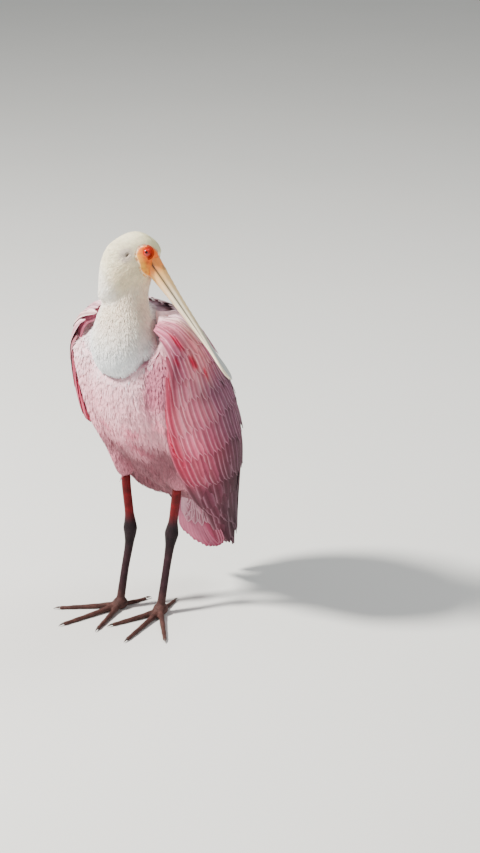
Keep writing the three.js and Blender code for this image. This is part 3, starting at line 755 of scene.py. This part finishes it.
def relax(values, faces, rounds, weight=0.6):
    a, b = edges_of(faces)
    count = len(values)
    degree = np.bincount(a, minlength=count) + np.bincount(b, minlength=count)
    degree = np.maximum(degree, 1)[:, None]
    weight = np.broadcast_to(np.asarray(weight, dtype=float), (count,))[:, None]
    for _ in range(rounds):
        total = np.empty_like(values)
        for k in range(values.shape[1]):
            total[:, k] = np.bincount(a, values[b, k], count) + np.bincount(b, values[a, k], count)
        values = values + weight * (total / degree - values)
    return values


# The flesh nodes, and the part of the body that each belongs to
HEAD, NECK, TORSO, THIGH, MANTLE = range(5)
FLESH = {"torso": TORSO, "neck_base": MANTLE, "neck_bend": NECK, "neck_upper": NECK,
         "head": HEAD, "thigh_right": THIGH, "thigh_left": THIGH}


def regions(points, faces):
    """How much of each point belongs to each part of the body."""
    flesh, triangles, owner = gather(FLESH)
    tree = BVHTree.FromPolygons(flesh.tolist(), triangles.tolist())
    nearest = np.array([tree.find_nearest(p)[2] for p in points.tolist()])
    kinds = np.array(list(FLESH.values()))[owner[nearest]]
    return relax(np.eye(5)[kinds], faces, 16)


def from_exits(points):
    """How far each point is from where the nearer leg comes out."""
    return np.minimum(*(np.linalg.norm(points - at["exit"], axis=1) for at in LEGS.values()))


def head_place(points):
    away = points - HEAD_MIDDLE
    return away @ FORWARD, away @ CROWN, away @ HEAD_LEFT


def body_place(points):
    away = points - BODY_TOP
    return away @ ALONG, away @ LEFT, away @ BACK


# Places on the side of the head: (ahead of its middle, towards the crown)
FACE = (6, -2)
CHIN = (15, -9)
EAR = (-9, -19.5)
EAR_SMUDGE = (-9, -19)


def bare_face(points):
    """1 on the bare skin round the eye, on the lores and at the gape."""
    f, c, side = head_place(points)
    edge = 0.12 * wobble(points, 3.5)
    mask = smooth(1.15, 0.85, oval(f, c, FACE, (14.5, 11.5)) + edge)
    middle = np.where(f > 2, smooth(2, 5, np.abs(side)), smooth(7, 10, np.abs(side)))
    chin = smooth(1.1, 0.8, oval(f, c, CHIN, (10, 7.5)) + edge)
    return np.maximum(mask * middle, chin)


def ear_smudge(points):
    f, c, side = head_place(points)
    return smooth(1.2, 0.2, oval(f, c, EAR_SMUDGE, (9, 10))) * smooth(10, 16, np.abs(side))


def under_wing(points):
    """1 where the folded wings cover the body."""
    s, x, d = body_place(points)
    half, back, front = wing_section(s)
    degrees = np.degrees(np.arctan2(np.abs(x) / half, d / np.where(d > 0, back, front)))
    first, last = wing_edges(s)
    last = last - 12 - np.where(x < 0, RIGHT_DRAW * smooth(*RIGHT_DRAW_SPAN, s), 0)
    return ((degrees > first + 6) & (degrees < last) & (s > 22) & (s < 380)).astype(float)


def body_tint(points, weights):
    """The plumage colours by place, with painted shade on the mantle, the top of the back and
    beside the neck, and partly on the belly.
    """
    f, c, _ = head_place(points)
    s, x, d = body_place(points)
    z = points[:, 2]
    head = mix(CREAM, CROWN_GREEN, smooth(-2, 10, c) * 0.45)
    head = mix(head, WARM_CREAM, smooth(-4, -20, c) * smooth(-15, 5, f) * 0.75)
    head = mix(head, WHITE, smooth(-38, -62, c) * 0.8)
    head = mix(head, EAR_MAUVE, ear_smudge(points) * 0.55)
    neck = mix(WHITE, BLUE_WHITE, smooth(400, 350, z))
    front = smooth(5, -25, points[:, 1]) * smooth(-22, 6, points[:, 0])
    neck = mix(neck, mix(WARM_CREAM, PINK_WHITE, 0.2), 0.8 * smooth(345, 420, z) * front)
    neck = mix(neck, EAR_MAUVE, 0.1 * smooth(0.2, 0.9, wobble(points, 19, 2.0)))
    # The mantle's pinkish white greyed to mauve: painted shade.
    mantle_with_painted_shade = mix(MAUVE_GREY, PINK_WHITE, 0.25 + 0.15 * wobble(points, 11))
    breast = mix(PINK_WHITE, PALE_PINK, 0.55 * smooth(0, 80, s + 12 * wobble(points, 24)))
    breast = mix(breast, PALE_PINK, 0.85 * smooth(70, 160, s + 16 * wobble(points, 22, 5.0)))
    rosy = 0.5 * smooth(0.15, 0.6, wobble(points, 13, 4.0)) * smooth(60, 110, s)
    breast = mix(breast, ROSE, rosy)
    # Dusky mauve lower down the breast and over the belly: partly the plumage's own tone, partly
    # painted shade.
    middle = smooth(82, 165, s + 26 * wobble(points, 17, 3.0) + 0.1 * np.abs(x))
    breast = mix(breast, DUSTY, 0.9 * middle)
    # Painted shade: grey mauve on the back at the top of the body, as on the mantle.
    breast = mix(breast, MAUVE_GREY, smooth(0, 30, d) * smooth(-10, 60, s) * 0.8)
    # Painted shadow of the neck on the left side of the breast, beside the wing.
    painted_neck_shadow = smooth(30, 44, x) * smooth(110, 60, s) * smooth(10, -20, d)
    breast = mix(breast, mix(ROSE, MAUVE, 0.6), 0.85 * painted_neck_shadow)
    thigh = mix(PALE_PINK, DUSTY, 0.6 + 0.25 * wobble(points, 12))
    tone = sum(w[:, None] * t for w, t in zip(weights.T, (head, neck, breast, thigh, mantle_with_painted_shade)))
    tone = tone / np.maximum(weights.sum(1), 1e-6)[:, None]
    bare = bare_face(points) * weights[:, HEAD]
    yellow = smooth(-4, -11, c) * 0.8 + 0.25 * smooth(0.1, 0.8, wobble(points, 4))
    skin = mix(FACE_ORANGE, GAPE_YELLOW, yellow)
    skin = mix(skin, CARMINE * 0.8, 0.35 * smooth(0.3, 0.9, wobble(points, 2.5, 1.0)))
    return mix(tone, skin, bare)


def meet_wings(points, body):
    """Fills the flanks out until they meet the front edges of the folded wings."""
    s, x, d = body_place(points)
    half, back, front = wing_section(s)
    across, out = x / half, d / np.where(d > 0, back, front)
    radius = np.hypot(across, out)
    degrees = np.degrees(np.arctan2(np.abs(across), out))
    edge = np.minimum(wing_edges(s)[1], 140) + np.where(x < 0, RIGHT_WRAP, 0)
    want = np.where(x < 0, 1.0 + 0.025 * smooth(80, 30, s), 0.975)
    want = want * smooth(edge + 42, edge - 2, degrees) * smooth(8, 34, degrees)
    grow = np.maximum(want / np.maximum(radius, 0.2), 1) - 1
    grow = grow * smooth(-12, np.where(x < 0, 22, 75), s) * smooth(300, 235, s) * body
    return points + grow[:, None] * (LEFT * x[:, None] + BACK * d[:, None])


class Skin:
    """The body's surface, with what the coat needs to know of it."""

    def __init__(self):
        points, faces = remesh(FLESH, 0.4, 1.5)
        weights = regions(points, faces)
        head, neck = weights[:, HEAD], weights[:, NECK]
        body = weights[:, TORSO] + weights[:, THIGH]
        soft = 0.25 * head + 0.6 * weights[:, 1:].sum(1)
        points = relax(points, faces, 10, soft)
        points = relax(points, faces, 30, np.minimum(4 * head * neck, 1))
        points = relax(meet_wings(points, body), faces, 30, 0.6 * body)
        f, c, side = head_place(points)
        far_out = smooth(10, 16, np.abs(side))
        ear = oval(f, c, EAR, (1.7, 2.4))
        depth = self.depth(points, weights, body) + 2.6 * smooth(1.5, 0.3, ear) * far_out
        points = points - point_normals(points, faces) * depth[:, None]
        self.points, self.faces, self.weights = points, faces, weights
        self.normals = point_normals(points, faces)
        tint = body_tint(points, weights) * mix(0.86, 1.0, head)[:, None]
        # The ear opening painted near black: painted shade of its hollow.
        tint = mix(tint, (0.03, 0.02, 0.02), 0.9 * (smooth(1.2, 0.5, ear) * far_out))
        self.object = mesh_object("body_skin", points, faces, MAT["skin"], "white_plumage",
                                  tint=tint)
        self.unwrap()
        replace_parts(self.object, *FLESH)
        self.tree = BVHTree.FromPolygons(points.tolist(), faces.tolist())
        a, b, c, d = points[faces].transpose(1, 0, 2)
        self.areas = 0.5 * np.linalg.norm(np.cross(c - a, d - b), axis=1)
        self.middles = points[faces].mean(1)
        self.face_weights = weights[faces].mean(1)

    @staticmethod
    def depth(points, weights, body):
        """How far the skin is sunk to make room for the coat."""
        head, neck = weights[:, HEAD], weights[:, NECK]
        depth = 0.9 * head + 1.6 * (neck + weights[:, MANTLE]) + 2.4 * body
        depth = depth * smooth(8, 30, from_exits(points))
        depth = depth * (1 - 0.75 * (bare_face(points) * head))
        seam = 6.0 * smooth(0.02, 0.25, neck) * smooth(0.7, 0.4, neck) * weights[:, TORSO]
        return depth + seam

    def unwrap(self):
        self.object.data.uv_layers.new(name="OFBake")
        bpy.ops.object.select_all(action="DESELECT")
        bpy.context.view_layer.objects.active = self.object
        self.object.select_set(True)
        bpy.ops.object.mode_set(mode="EDIT")
        bpy.ops.mesh.select_all(action="SELECT")
        bpy.ops.uv.smart_project(angle_limit=1.15, island_margin=0.002)
        bpy.ops.object.mode_set(mode="OBJECT")
        layer = self.object.data.uv_layers["OFBake"]
        self.uv = read(layer.data, "uv", 2).reshape(-1, 4, 2)


skin = Skin()


def lie(points, weights):
    """The way that the feathers lie, before it is laid on the surface."""
    from_bill = unit(points - in_head(9, 0, 0))
    down = np.broadcast_to(np.array([0.05, 0.3, -1.0]), points.shape)
    body = np.broadcast_to(ALONG, points.shape)
    thigh = np.broadcast_to(np.array([0.0, -0.12, -1.0]), points.shape)
    throat = smooth(0, -30, head_place(points)[1])[:, None]
    head = from_bill + 0.6 * np.array([-0.1, 0.1, -0.9]) * throat
    return unit(sum(w[:, None] * v for w, v in zip(weights.T, (head, down, body, thigh, down))))


TUFT_ROWS = np.array([0.0, 0.34, 0.72, 1.0])
TUFT_WIDTHS = np.array([0.45, 1.0, 0.82, 0.12])
TUFT_ACROSS = np.array([0.0, 0.5, 1.0])
TUFT_CUP = 0.22
TUFT_POINTS = len(TUFT_ROWS) * len(TUFT_ACROSS)
MOST_TUFTS = 16500


def coat(name, keep, length, width, cover, lift, material, slot, stray, shade=0.06):
    """Tufts rooted over the skin where keep says so, laid along it tier on tier."""
    rate = skin.areas * keep * cover / (length * width)
    count = int(min(rate.sum(), MOST_TUFTS))
    chosen = rng.choice(len(rate), size=count, p=rate / rate.sum())
    a, b = rng.random((2, count))
    share = np.stack([(1 - a) * (1 - b), a * (1 - b), a * b, (1 - a) * b], 1)[..., None]
    corners = skin.faces[chosen]
    root = (skin.points[corners] * share).sum(1)
    normal = unit((skin.normals[corners] * share).sum(1))
    weights = (skin.weights[corners] * share).sum(1)
    bake = (skin.uv[chosen] * share).sum(1)
    way = lie(root, weights)
    way = unit(way - normal * (way * normal).sum(1, keepdims=True))
    turn = np.radians(stray) * rng.normal(0, 1, count)[:, None]
    way = way * np.cos(turn) + np.cross(normal, way) * np.sin(turn)
    reach = np.broadcast_to(length, rate.shape)[chosen] * rng.uniform(0.78, 1.18, count)
    wide = np.broadcast_to(width, rate.shape)[chosen] * rng.uniform(0.8, 1.2, count)
    reach, wide = reach[:, None], wide[:, None]
    rise = lift * rng.uniform(0.6, 1.35, count)[:, None]
    at_exit = from_exits(root)[:, None] < 22
    rows, normals = [root - normal * 0.8], [normal]
    for t in TUFT_ROWS[1:]:
        target = root + way * reach * t
        found = [skin.tree.find_nearest(p)[:2] for p in target.tolist()]
        on_skin, out = (np.array([f[k] for f in found]) for k in (0, 1))
        out = np.where((out * normals[-1]).sum(1, keepdims=True) < 0.2, normals[-1], out)
        off = np.linalg.norm(target - on_skin, axis=1, keepdims=True)
        free = (off > 0.45 * reach * t) & at_exit
        rows.append(np.where(free, target, on_skin) + out * rise * t)
        normals.append(out)
    points = np.empty((count, len(TUFT_ROWS), len(TUFT_ACROSS), 3))
    for k, full in enumerate(TUFT_WIDTHS):
        across = unit(np.cross(normals[k], way)) * wide / 2 * full
        sink = normals[k] * wide * TUFT_CUP * full
        points[:, k, 0] = rows[k] - across - sink
        points[:, k, 1] = rows[k]
        points[:, k, 2] = rows[k] + across - sink
    tone = body_tint(root, weights) * (1 + shade * rng.normal(0, 1, (count, 1)))
    tone = np.repeat(np.clip(tone, 0, 0.95), TUFT_POINTS, axis=0)
    place = np.stack([np.repeat(TUFT_ROWS, len(TUFT_ACROSS)),
                      np.tile(TUFT_ACROSS, len(TUFT_ROWS))], axis=1)
    faces = grid_faces(len(TUFT_ROWS), len(TUFT_ACROSS))[None]
    faces = (faces + TUFT_POINTS * np.arange(count)[:, None, None]).reshape(-1, 4)
    patch = bake_patch(bake[:, None, :], place)
    mesh_object(name, points.reshape(-1, 3), faces, material, slot, tint=tone,
                uvs={"vane": np.tile(place, (count, 1)), "OFBake": patch.reshape(-1, 2)})


def coat_body():
    part = skin.face_weights
    head, torso, thigh = part[:, HEAD], part[:, TORSO], part[:, THIGH]
    neck = part[:, NECK] + part[:, MANTLE]
    f, c, side = head_place(skin.middles)
    s = body_place(skin.middles)[0]
    z = skin.middles[:, 2]
    open_side = 1 - under_wing(skin.middles)

    ear = (oval(f, c, EAR, (1.8, 2.4)) < 1) * (np.abs(side) > 12)
    bill_mouth = (f > 8) & (np.abs(side) < 10) & (c > -14)
    feathered = (1 - bare_face(skin.middles) * head) * (1 - ear) * (1 - bill_mouth)
    fine = smooth(10, 45, np.sqrt(oval(f, c, FACE, (1, 1))))
    down = {"material": MAT["down"], "slot": "white_plumage"}
    coat("coat_head", feathered * (head > 0.5), length=mix(2.6, 7.5, fine),
         width=mix(0.8, 1.5, fine), cover=7.0, lift=0.8, stray=9, **down)
    on_neck = (neck > 0.4) & (head <= 0.5)
    coat("coat_neck_upper", on_neck * (z > 385), length=8.0, width=1.7, cover=8.0, lift=1.1,
         stray=8, **down)
    coat("coat_neck_bend", on_neck * (z <= 385) * open_side, length=9.5, width=1.9, cover=7.0,
         lift=1.2, stray=8, **down)

    body = {"material": MAT["body"], "slot": "breast"}
    on_torso = open_side * (torso > 0.4) * (neck <= 0.4)
    coat("coat_breast", on_torso * (s < 175), length=mix(13.0, 18.0, smooth(20, 150, s)),
         width=3.6, cover=8.0, lift=2.0, stray=12, shade=0.09, **body)
    coat("coat_belly", on_torso * (s >= 175), length=mix(18.0, 24.0, smooth(150, 260, s)),
         width=3.8, cover=8.0, lift=2.6, stray=14, shade=0.16, **body)
    above = from_exits(skin.middles) > 9
    coat("coat_thighs", (thigh > 0.4) * (torso <= 0.4) * above, length=14.0, width=2.8,
         cover=9.0, lift=1.8, stray=12, shade=0.16, **body)


coat_body()


# Tail

# Rows of coverts: first and last place along the body, height over the tail, count
UNDER_COVERTS = [(250, 322, -4, 9), (232, 300, -6, 8), (216, 278, -7.5, 7)]
UPPER_COVERTS = [(252, 318, 4, 8), (236, 296, 6.5, 7)]


def tail_vane(out, fan, layer, start, end, width, tint, roll=0.8, rows=12, columns=5):
    """One feather of the tail. fan is its angle, and layer its height over the tail's middle."""
    t = np.linspace(0, 1, rows)[:, None]
    v = np.linspace(-1, 1, columns)[None, :]
    s = mix(start, end, t)
    share = np.maximum(s - TAIL_ROOT, 0) / (TAIL_TIP - TAIL_ROOT)
    reach = s - TAIL_ROOT + 10
    depth = TAIL_DEPTH + layer * (0.35 + 0.65 * share) - TAIL_DROP * share ** 1.2
    centre = in_body(s, np.sin(fan) * reach, depth)[:, 0]
    across = unit(np.cross(unit(np.gradient(centre, axis=0)), BACK))
    half = width / 2 * VANE_OUTLINE(t)[0]
    points = centre[:, None, :] + across[:, None, :] * (half * v)[..., None]
    points = points + BACK * (roll * v - 0.6 * v * v)[..., None]
    u = (start - 200) / 160
    out.grid(points, t, v / 2 + 0.5, tint, np.array([0.1 + 0.8 * u, 0.5 + 0.4 * fan]))


def tail_feathers():
    out = Vanes()
    for i in range(12):
        place = 2 * i / 11 - 1
        tone = mix(ROSE, MAUVE, 0.5) * 0.75 * (1 + 0.05 * rng.normal())
        tip = TAIL_TIP + 6 - 13 * abs(place) ** 1.6
        tail_vane(out, TAIL_FAN * place, 0.5 * (i % 3), TAIL_ROOT - 6, tip, 22, tone)
    for start, end, layer, count in UNDER_COVERTS:
        for i in range(count):
            fan = 1.05 * TAIL_FAN * (2 * i / (count - 1) - 1)
            jitter = rng.normal(0, 1, 2)
            tail_vane(out, fan, layer, start + 2 * jitter[0], end + 4 * jitter[1], 15,
                      mix(PALE_PINK, MAUVE_GREY, 0.6), roll=-0.4)
    for start, end, layer, count in UPPER_COVERTS:
        for i in range(count):
            fan = TAIL_FAN * (2 * i / (count - 1) - 1)
            tail_vane(out, fan, layer, start, end + 3 * rng.normal(), 17, mix(ROSE, CARMINE, 0.3))
    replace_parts(out.build("feathers_tail", MAT["wing"], "tail"), "tail")


tail_feathers()


# Bill

BILL_ROWS = track([
    [0, 11, 11, 3], [0.12, 9.6, 9, 2.5], [0.35, 8, 6, 1.5], [0.62, 8.2, 4, 0.8],
    [0.78, 15, 2.6, 0.4], [0.9, 23, 2.2, 0.2], [0.97, 19, 2, 0.2], [1, 10, 1.4, 0.2],
])
BILL_GREY = np.array([0.36, 0.4, 0.38])
BILL_CREAM = np.array([0.96, 0.7, 0.36])
BILL_EDGE = np.array([0.93, 0.82, 0.6])
BILL_DARK = np.array([0.07, 0.06, 0.05])


BILL_END = 171


def bill_half(upper, rows=110, around=27, under=11):
    """The points, faces and tints of one half of the bill, from its base to its closed tip."""
    t = np.linspace(0, 1, rows)
    t = 1 - (1 - t) ** 1.25
    half, height, rise = BILL_ROWS(t)
    spoon = smooth(0.62, 0.85, t)[:, None]
    reach = (height if upper else -(0.9 * height + rise))[:, None]
    half = half if upper else half * 0.94
    angle = np.linspace(0, math.pi, around)
    sine = np.sin(angle)[None]
    x = half[:, None] * np.cos(angle)[None]
    y = reach * sine ** 0.8
    across = np.abs(np.cos(angle))[None]
    groove = np.exp(-(((across - 0.66) / 0.07) ** 2)) * (1 - spoon) * 0.6
    rim = np.exp(-(((across - 0.9) / 0.08) ** 2)) * spoon * 0.5
    hollow = (1 - across ** 2) * spoon * (0.25 if upper else 0.1) * np.abs(reach)
    wrinkle = 0.22 * np.sin(t * 150)[:, None] * sine * smooth(0.0, 0.15, t)[:, None]
    wrinkle = wrinkle * smooth(0.75, 0.35, t)[:, None]
    sign = 1 if upper else -1
    y = y + sign * (rim - groove - hollow + (wrinkle if upper else 0.3 * wrinkle)) * sine
    flat = np.linspace(-1, 1, under + 2)[1:-1][None]
    x = np.concatenate([x, half[:, None] * flat], axis=1)
    y = np.concatenate([y, np.zeros((rows, under))], axis=1)
    forward = (BILL_BASE + (BILL_END - BILL_BASE) * t)[:, None]
    mouth = (-3 + 4 * t)[:, None] + sign * 0.15
    points = HEAD_MIDDLE + (
        forward[..., None] * FORWARD + (mouth + y)[..., None] * CROWN + x[..., None] * HEAD_LEFT
    )
    points = np.concatenate([points.reshape(-1, 3), [in_head(BILL_TIP, 1 + sign * 0.8, 0)]])
    tint = np.concatenate([bill_tint(t, x, y, half, upper).reshape(-1, 3), [BILL_GREY]])
    total = around + under
    last = (rows - 1) * total
    faces = grid_faces(rows, total, wrap=True)
    faces = (faces if upper else faces[:, ::-1]).tolist()
    faces += [(last + j, last + (j + 1) % total, rows * total) for j in range(total)]
    faces += [(j, j + 1, 0) for j in range(1, total - 1)]
    return points, faces, tint


def bill_tint(t, x, y, half, upper):
    ahead = np.broadcast_to(t[:, None], x.shape)
    place = np.stack([ahead * 165, x, y], -1)
    rim = 0.9 * smooth(0.72, 0.92, np.abs(x) / half[:, None]) * smooth(0.12, 0.3, ahead)
    speckle = 0.16 * smooth(0.2, 0.8, wobble(place, 5, 3.0)) * smooth(0.9, 0.4, ahead)
    tone = mix(BILL_CREAM, BILL_GREY, smooth(0.35, 0.85, ahead + 0.05 * wobble(place, 8)))
    tone = mix(mix(tone, BILL_EDGE, rim), BILL_DARK, speckle)
    if not upper:
        tone = mix(tone, BILL_EDGE, 0.5)
    tone = mix(tone, GAPE_YELLOW, 0.8 * smooth(0.4, 0.08, ahead + (0.03 if upper else 0.0)))
    tone = mix(tone, mix(FACE_ORANGE, GAPE_YELLOW, 0.3), 0.8 * smooth(0.14, 0.08, ahead))
    # Near black where the two halves meet, wider near the base and gone at the spoon: painted shade
    # of the mouth slit.
    edge = smooth(0.9 + 1.5 * smooth(0.6, 0.2, ahead), 0.2, np.abs(y))
    return mix(tone, BILL_DARK, 0.92 * edge * smooth(0.8, 0.5, ahead))


for is_upper, bill_name in ((True, "bill_upper"), (False, "bill_lower")):
    horn_points, horn_faces, horn_tint = bill_half(is_upper)
    horn = bpy.data.meshes.new(bill_name + "_horn")
    horn.from_pydata(row(horn_points).tolist(), [], horn_faces)
    piece = finish_piece(bill_name + "_horn", horn, "bill", MAT["bill"], horn_tint)
    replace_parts(piece, bill_name)


# Rims of the eyelids and the nostrils

def oval_rim_tree(material):
    """Nodes that sweep a round bead along an oval. The sizes of both are the inputs."""
    group = bpy.data.node_groups.new("oval_rim", "GeometryNodeTree")
    group.interface.new_socket("Geometry", in_out="OUTPUT", socket_type="NodeSocketGeometry")
    keys = [
        group.interface.new_socket(name, in_out="INPUT", socket_type="NodeSocketFloat").identifier
        for name in ("Half length", "Half height", "Bead radius")
    ]
    m = NodeTree(group)
    given = m.add("NodeGroupInput").outputs
    path = m.add("GeometryNodeCurvePrimitiveCircle", {"Resolution": 48, "Radius": 1.0})
    sizes = m.add("ShaderNodeCombineXYZ",
                  {"X": given["Half length"], "Y": given["Half height"], "Z": 1.0})
    stretched = m.add("GeometryNodeTransform", {
        "Geometry": path.outputs["Curve"], "Scale": sizes.outputs["Vector"]})
    bead = m.add("GeometryNodeCurvePrimitiveCircle", {
        "Resolution": 10, "Radius": given["Bead radius"]})
    sweep = m.add("GeometryNodeCurveToMesh", {
        "Curve": stretched.outputs["Geometry"], "Profile Curve": bead.outputs["Curve"]})
    real = m.add("GeometryNodeRealizeInstances", {"Geometry": sweep.outputs["Mesh"]})
    finished = m.add("GeometryNodeSetMaterial", {
        "Geometry": real.outputs["Geometry"], "Material": material})
    m.add("NodeGroupOutput", {"Geometry": finished.outputs["Geometry"]})
    return group, keys


RIMS = {"lid": oval_rim_tree(MAT["lid"]), "bill": oval_rim_tree(MAT["bill"])}


def oval_rim(name, kind, centre, up, sizes, slot, tint=None):
    """A rim round an oval opening. sizes are its half length and height and the bead's radius."""
    carrier = new_object("scratch", bpy.data.meshes.new("scratch"))
    modifier = carrier.modifiers.new("rim", "NODES")
    modifier.node_group, keys = RIMS[kind]
    for key, size in zip(keys, sizes):
        modifier[key] = size * 0.001
    mesh = plain_mesh(carrier)
    mesh.name = name
    up = unit(up)
    turn = Matrix(np.stack([FORWARD, up, np.cross(FORWARD, up)], axis=1).tolist()).to_4x4()
    mesh.transform(Matrix.Translation(row(centre).tolist()) @ turn)
    finish_piece(name, mesh, slot, tint=tint)


# Eyes and lids

# Eye colours; the near black last one is painted shade where the lids meet the eye.
PUPIL, IRIS = (0.004, 0.004, 0.004), (0.48, 0.012, 0.003)
IRIS_EDGE, EYE_SHADE_BY_LIDS = (0.4, 0.01, 0.004), (0.012, 0.004, 0.004)
# Lids from the inner one out: size, thickness and distance from the middle of the head
LIDS = [(5.2, 0.65, 15.5), (6.4, 0.7, 14.9), (7.8, 0.55, 14.5)]


def eye(side, label):
    """The eyeball with the bulge of its cornea, and the lids round it."""
    rows, around = 40, 48
    polar = np.linspace(0.001, math.pi - 0.001, rows)
    turn = np.linspace(0, 2 * math.pi, around, endpoint=False)
    radius = EYE_RADIUS + 0.35 * smooth(0.75, 0.0, polar)
    points = in_head(0, 0, 12 * side) + (
        (radius * np.cos(polar))[:, None, None] * (HEAD_LEFT * side)
        + (radius * np.sin(polar))[:, None, None]
        * (np.cos(turn)[None, :, None] * FORWARD + np.sin(turn)[None, :, None] * CROWN)
    )
    angle = np.broadcast_to(np.degrees(polar)[:, None], (rows, around))
    tone = mix(PUPIL, IRIS, smooth(13, 17, angle))
    tone = mix(tone, IRIS_EDGE, smooth(36, 50, angle))
    # Near black from the lids' edge back: painted shade where the lids meet the eye.
    tone = mix(tone, EYE_SHADE_BY_LIDS, smooth(56, 61, angle))
    faces = grid_faces(rows, around, wrap=True)
    ball = mesh_object("eyeball_" + label, points.reshape(-1, 3), faces, MAT["eye"], "eye",
                       tint=tone.reshape(-1, 3))
    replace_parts(ball, "eye_" + label)
    for k, (size, thickness, at) in enumerate(LIDS):
        oval_rim("eyelid_%d_%s" % (k, label), "lid", in_head(0, 0, at * side), CROWN,
                 (size * 1.06, size * 0.98, thickness), "white_plumage")


def nostril(side, label):
    slope = HEAD_LEFT * side * 0.6 - CROWN * 0.8
    # The rim's darker tint is painted shade of the nostril slit.
    oval_rim("nostril_rim_" + label, "bill", in_head(24, 5.9, 5.2 * side), slope,
             (3.0, 0.5, 0.22), "bill", BILL_DARK * 2 + BILL_CREAM * 0.25)


for build in (eye, nostril):
    build(1, "left")
    build(-1, "right")


# Legs

TOES = ["inner", "middle", "outer", "hind"]
SOLE_BROWN, TARSUS_DARK = (0.08, 0.035, 0.03), (0.03, 0.011, 0.016)
ANKLE_BLACK, TIBIA_RED = (0.012, 0.006, 0.009), (0.13, 0.003, 0.006)


def leg(label):
    """The scaled skin of one leg and foot, and its claws."""
    nodes = ["shank_", "ankle_", "tarsus_", "foot_"] + ["toe_%s_" % toe for toe in TOES]
    nodes = [node + label for node in nodes]
    points, faces = remesh(nodes, 0.3, 1.0)
    points = relax(points, faces, 8, 0.5)
    points[:, 2] = np.maximum(points[:, 2], 0)
    z = points[:, 2]
    ankle = LEGS[label]["ankle"]
    tone = mix(SOLE_BROWN, TARSUS_DARK, smooth(4, 40, z))
    tone = mix(tone, ANKLE_BLACK, smooth(32, 12, np.linalg.norm(points - ankle, axis=1)))
    tone = mix(tone, TIBIA_RED, smooth(ankle[2] + 12, ankle[2] + 34, z))
    tone = tone * (1 + 0.25 * wobble(points, 7))[:, None]
    skin_piece = mesh_object("leg_skin_" + label, points, faces, MAT["leg"], "leg", tint=tone)
    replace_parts(skin_piece, *nodes)
    claws = ["claw_%s_%s" % (toe, label) for toe in TOES]
    points, faces = remesh(claws, 0.0, 0.5)
    points = relax(points, faces, 4, 0.5)
    claw_piece = mesh_object("claws_" + label, points, faces, MAT["claw"], "claw")
    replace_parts(claw_piece, *claws)


leg("left")
leg("right")


# Floor, light and camera, in metres

FLOOR_HALF = 14.0
LENS = 88.63
CAMERA_AT = (1.5686, -1.7392, 1.1415)
# The camera's right, up and backward directions
CAMERA_AXES = ((0.766, 0.643, 0.0), (-0.2304, 0.2745, 0.9336), (0.6001, -0.7152, 0.3584))
WORLD_COLOUR = (0.9, 0.93, 0.95, 1)
WORLD_STRENGTH = 0.36


def floor_material():
    m = Finish("studio_floor", roughness=0.9)
    m.colour(m.blend(m.noise(3.0), (0.72, 0.73, 0.7), (0.76, 0.76, 0.74)))
    return m.material


def stage():
    mesh = bpy.data.meshes.new("floor")
    corners = [(x * FLOOR_HALF, y * FLOOR_HALF, 0) for x, y in ((-1, -1), (1, -1), (1, 1), (-1, 1))]
    mesh.from_pydata(corners, [], [(0, 1, 2, 3)])
    mesh.materials.append(floor_material())
    new_object("floor", mesh)


def softbox(name, place, aim, size, power, colour=(1.0, 1.0, 1.0)):
    light = bpy.data.lights.new(name, "AREA")
    light.shape = "DISK"
    light.size = size
    light.energy = power
    light.color = colour
    obj = new_object(name, light)
    obj.location = place
    obj.rotation_euler = (Vector(aim) - Vector(place)).to_track_quat("-Z", "Y").to_euler()


def camera():
    data = bpy.data.cameras.new("camera")
    data.sensor_width = 36.0
    data.sensor_fit = "AUTO"
    data.lens = LENS
    data.clip_start = 0.05
    obj = new_object("camera", data)
    turn = Matrix(CAMERA_AXES).transposed().to_4x4()
    obj.matrix_world = Matrix.Translation(CAMERA_AT) @ turn
    bpy.context.scene.camera = obj


stage()
camera()
softbox("key", (-1.2, -1.6, 2.4), (0, 0, 0.28), 0.4, 265, (1.0, 0.96, 0.9))
softbox("fill", (2.2, -1.2, 1.1), (0, 0, 0.3), 1.8, 12, (0.94, 0.97, 1.0))
softbox("top", (0.4, 1.2, 2.2), (0, 0, 0.35), 1.2, 26)
world = bpy.data.worlds.new("studio")
world.use_nodes = True
world.node_tree.nodes["Background"].inputs[0].default_value = WORLD_COLOUR
world.node_tree.nodes["Background"].inputs[1].default_value = WORLD_STRENGTH
bpy.context.scene.world = world
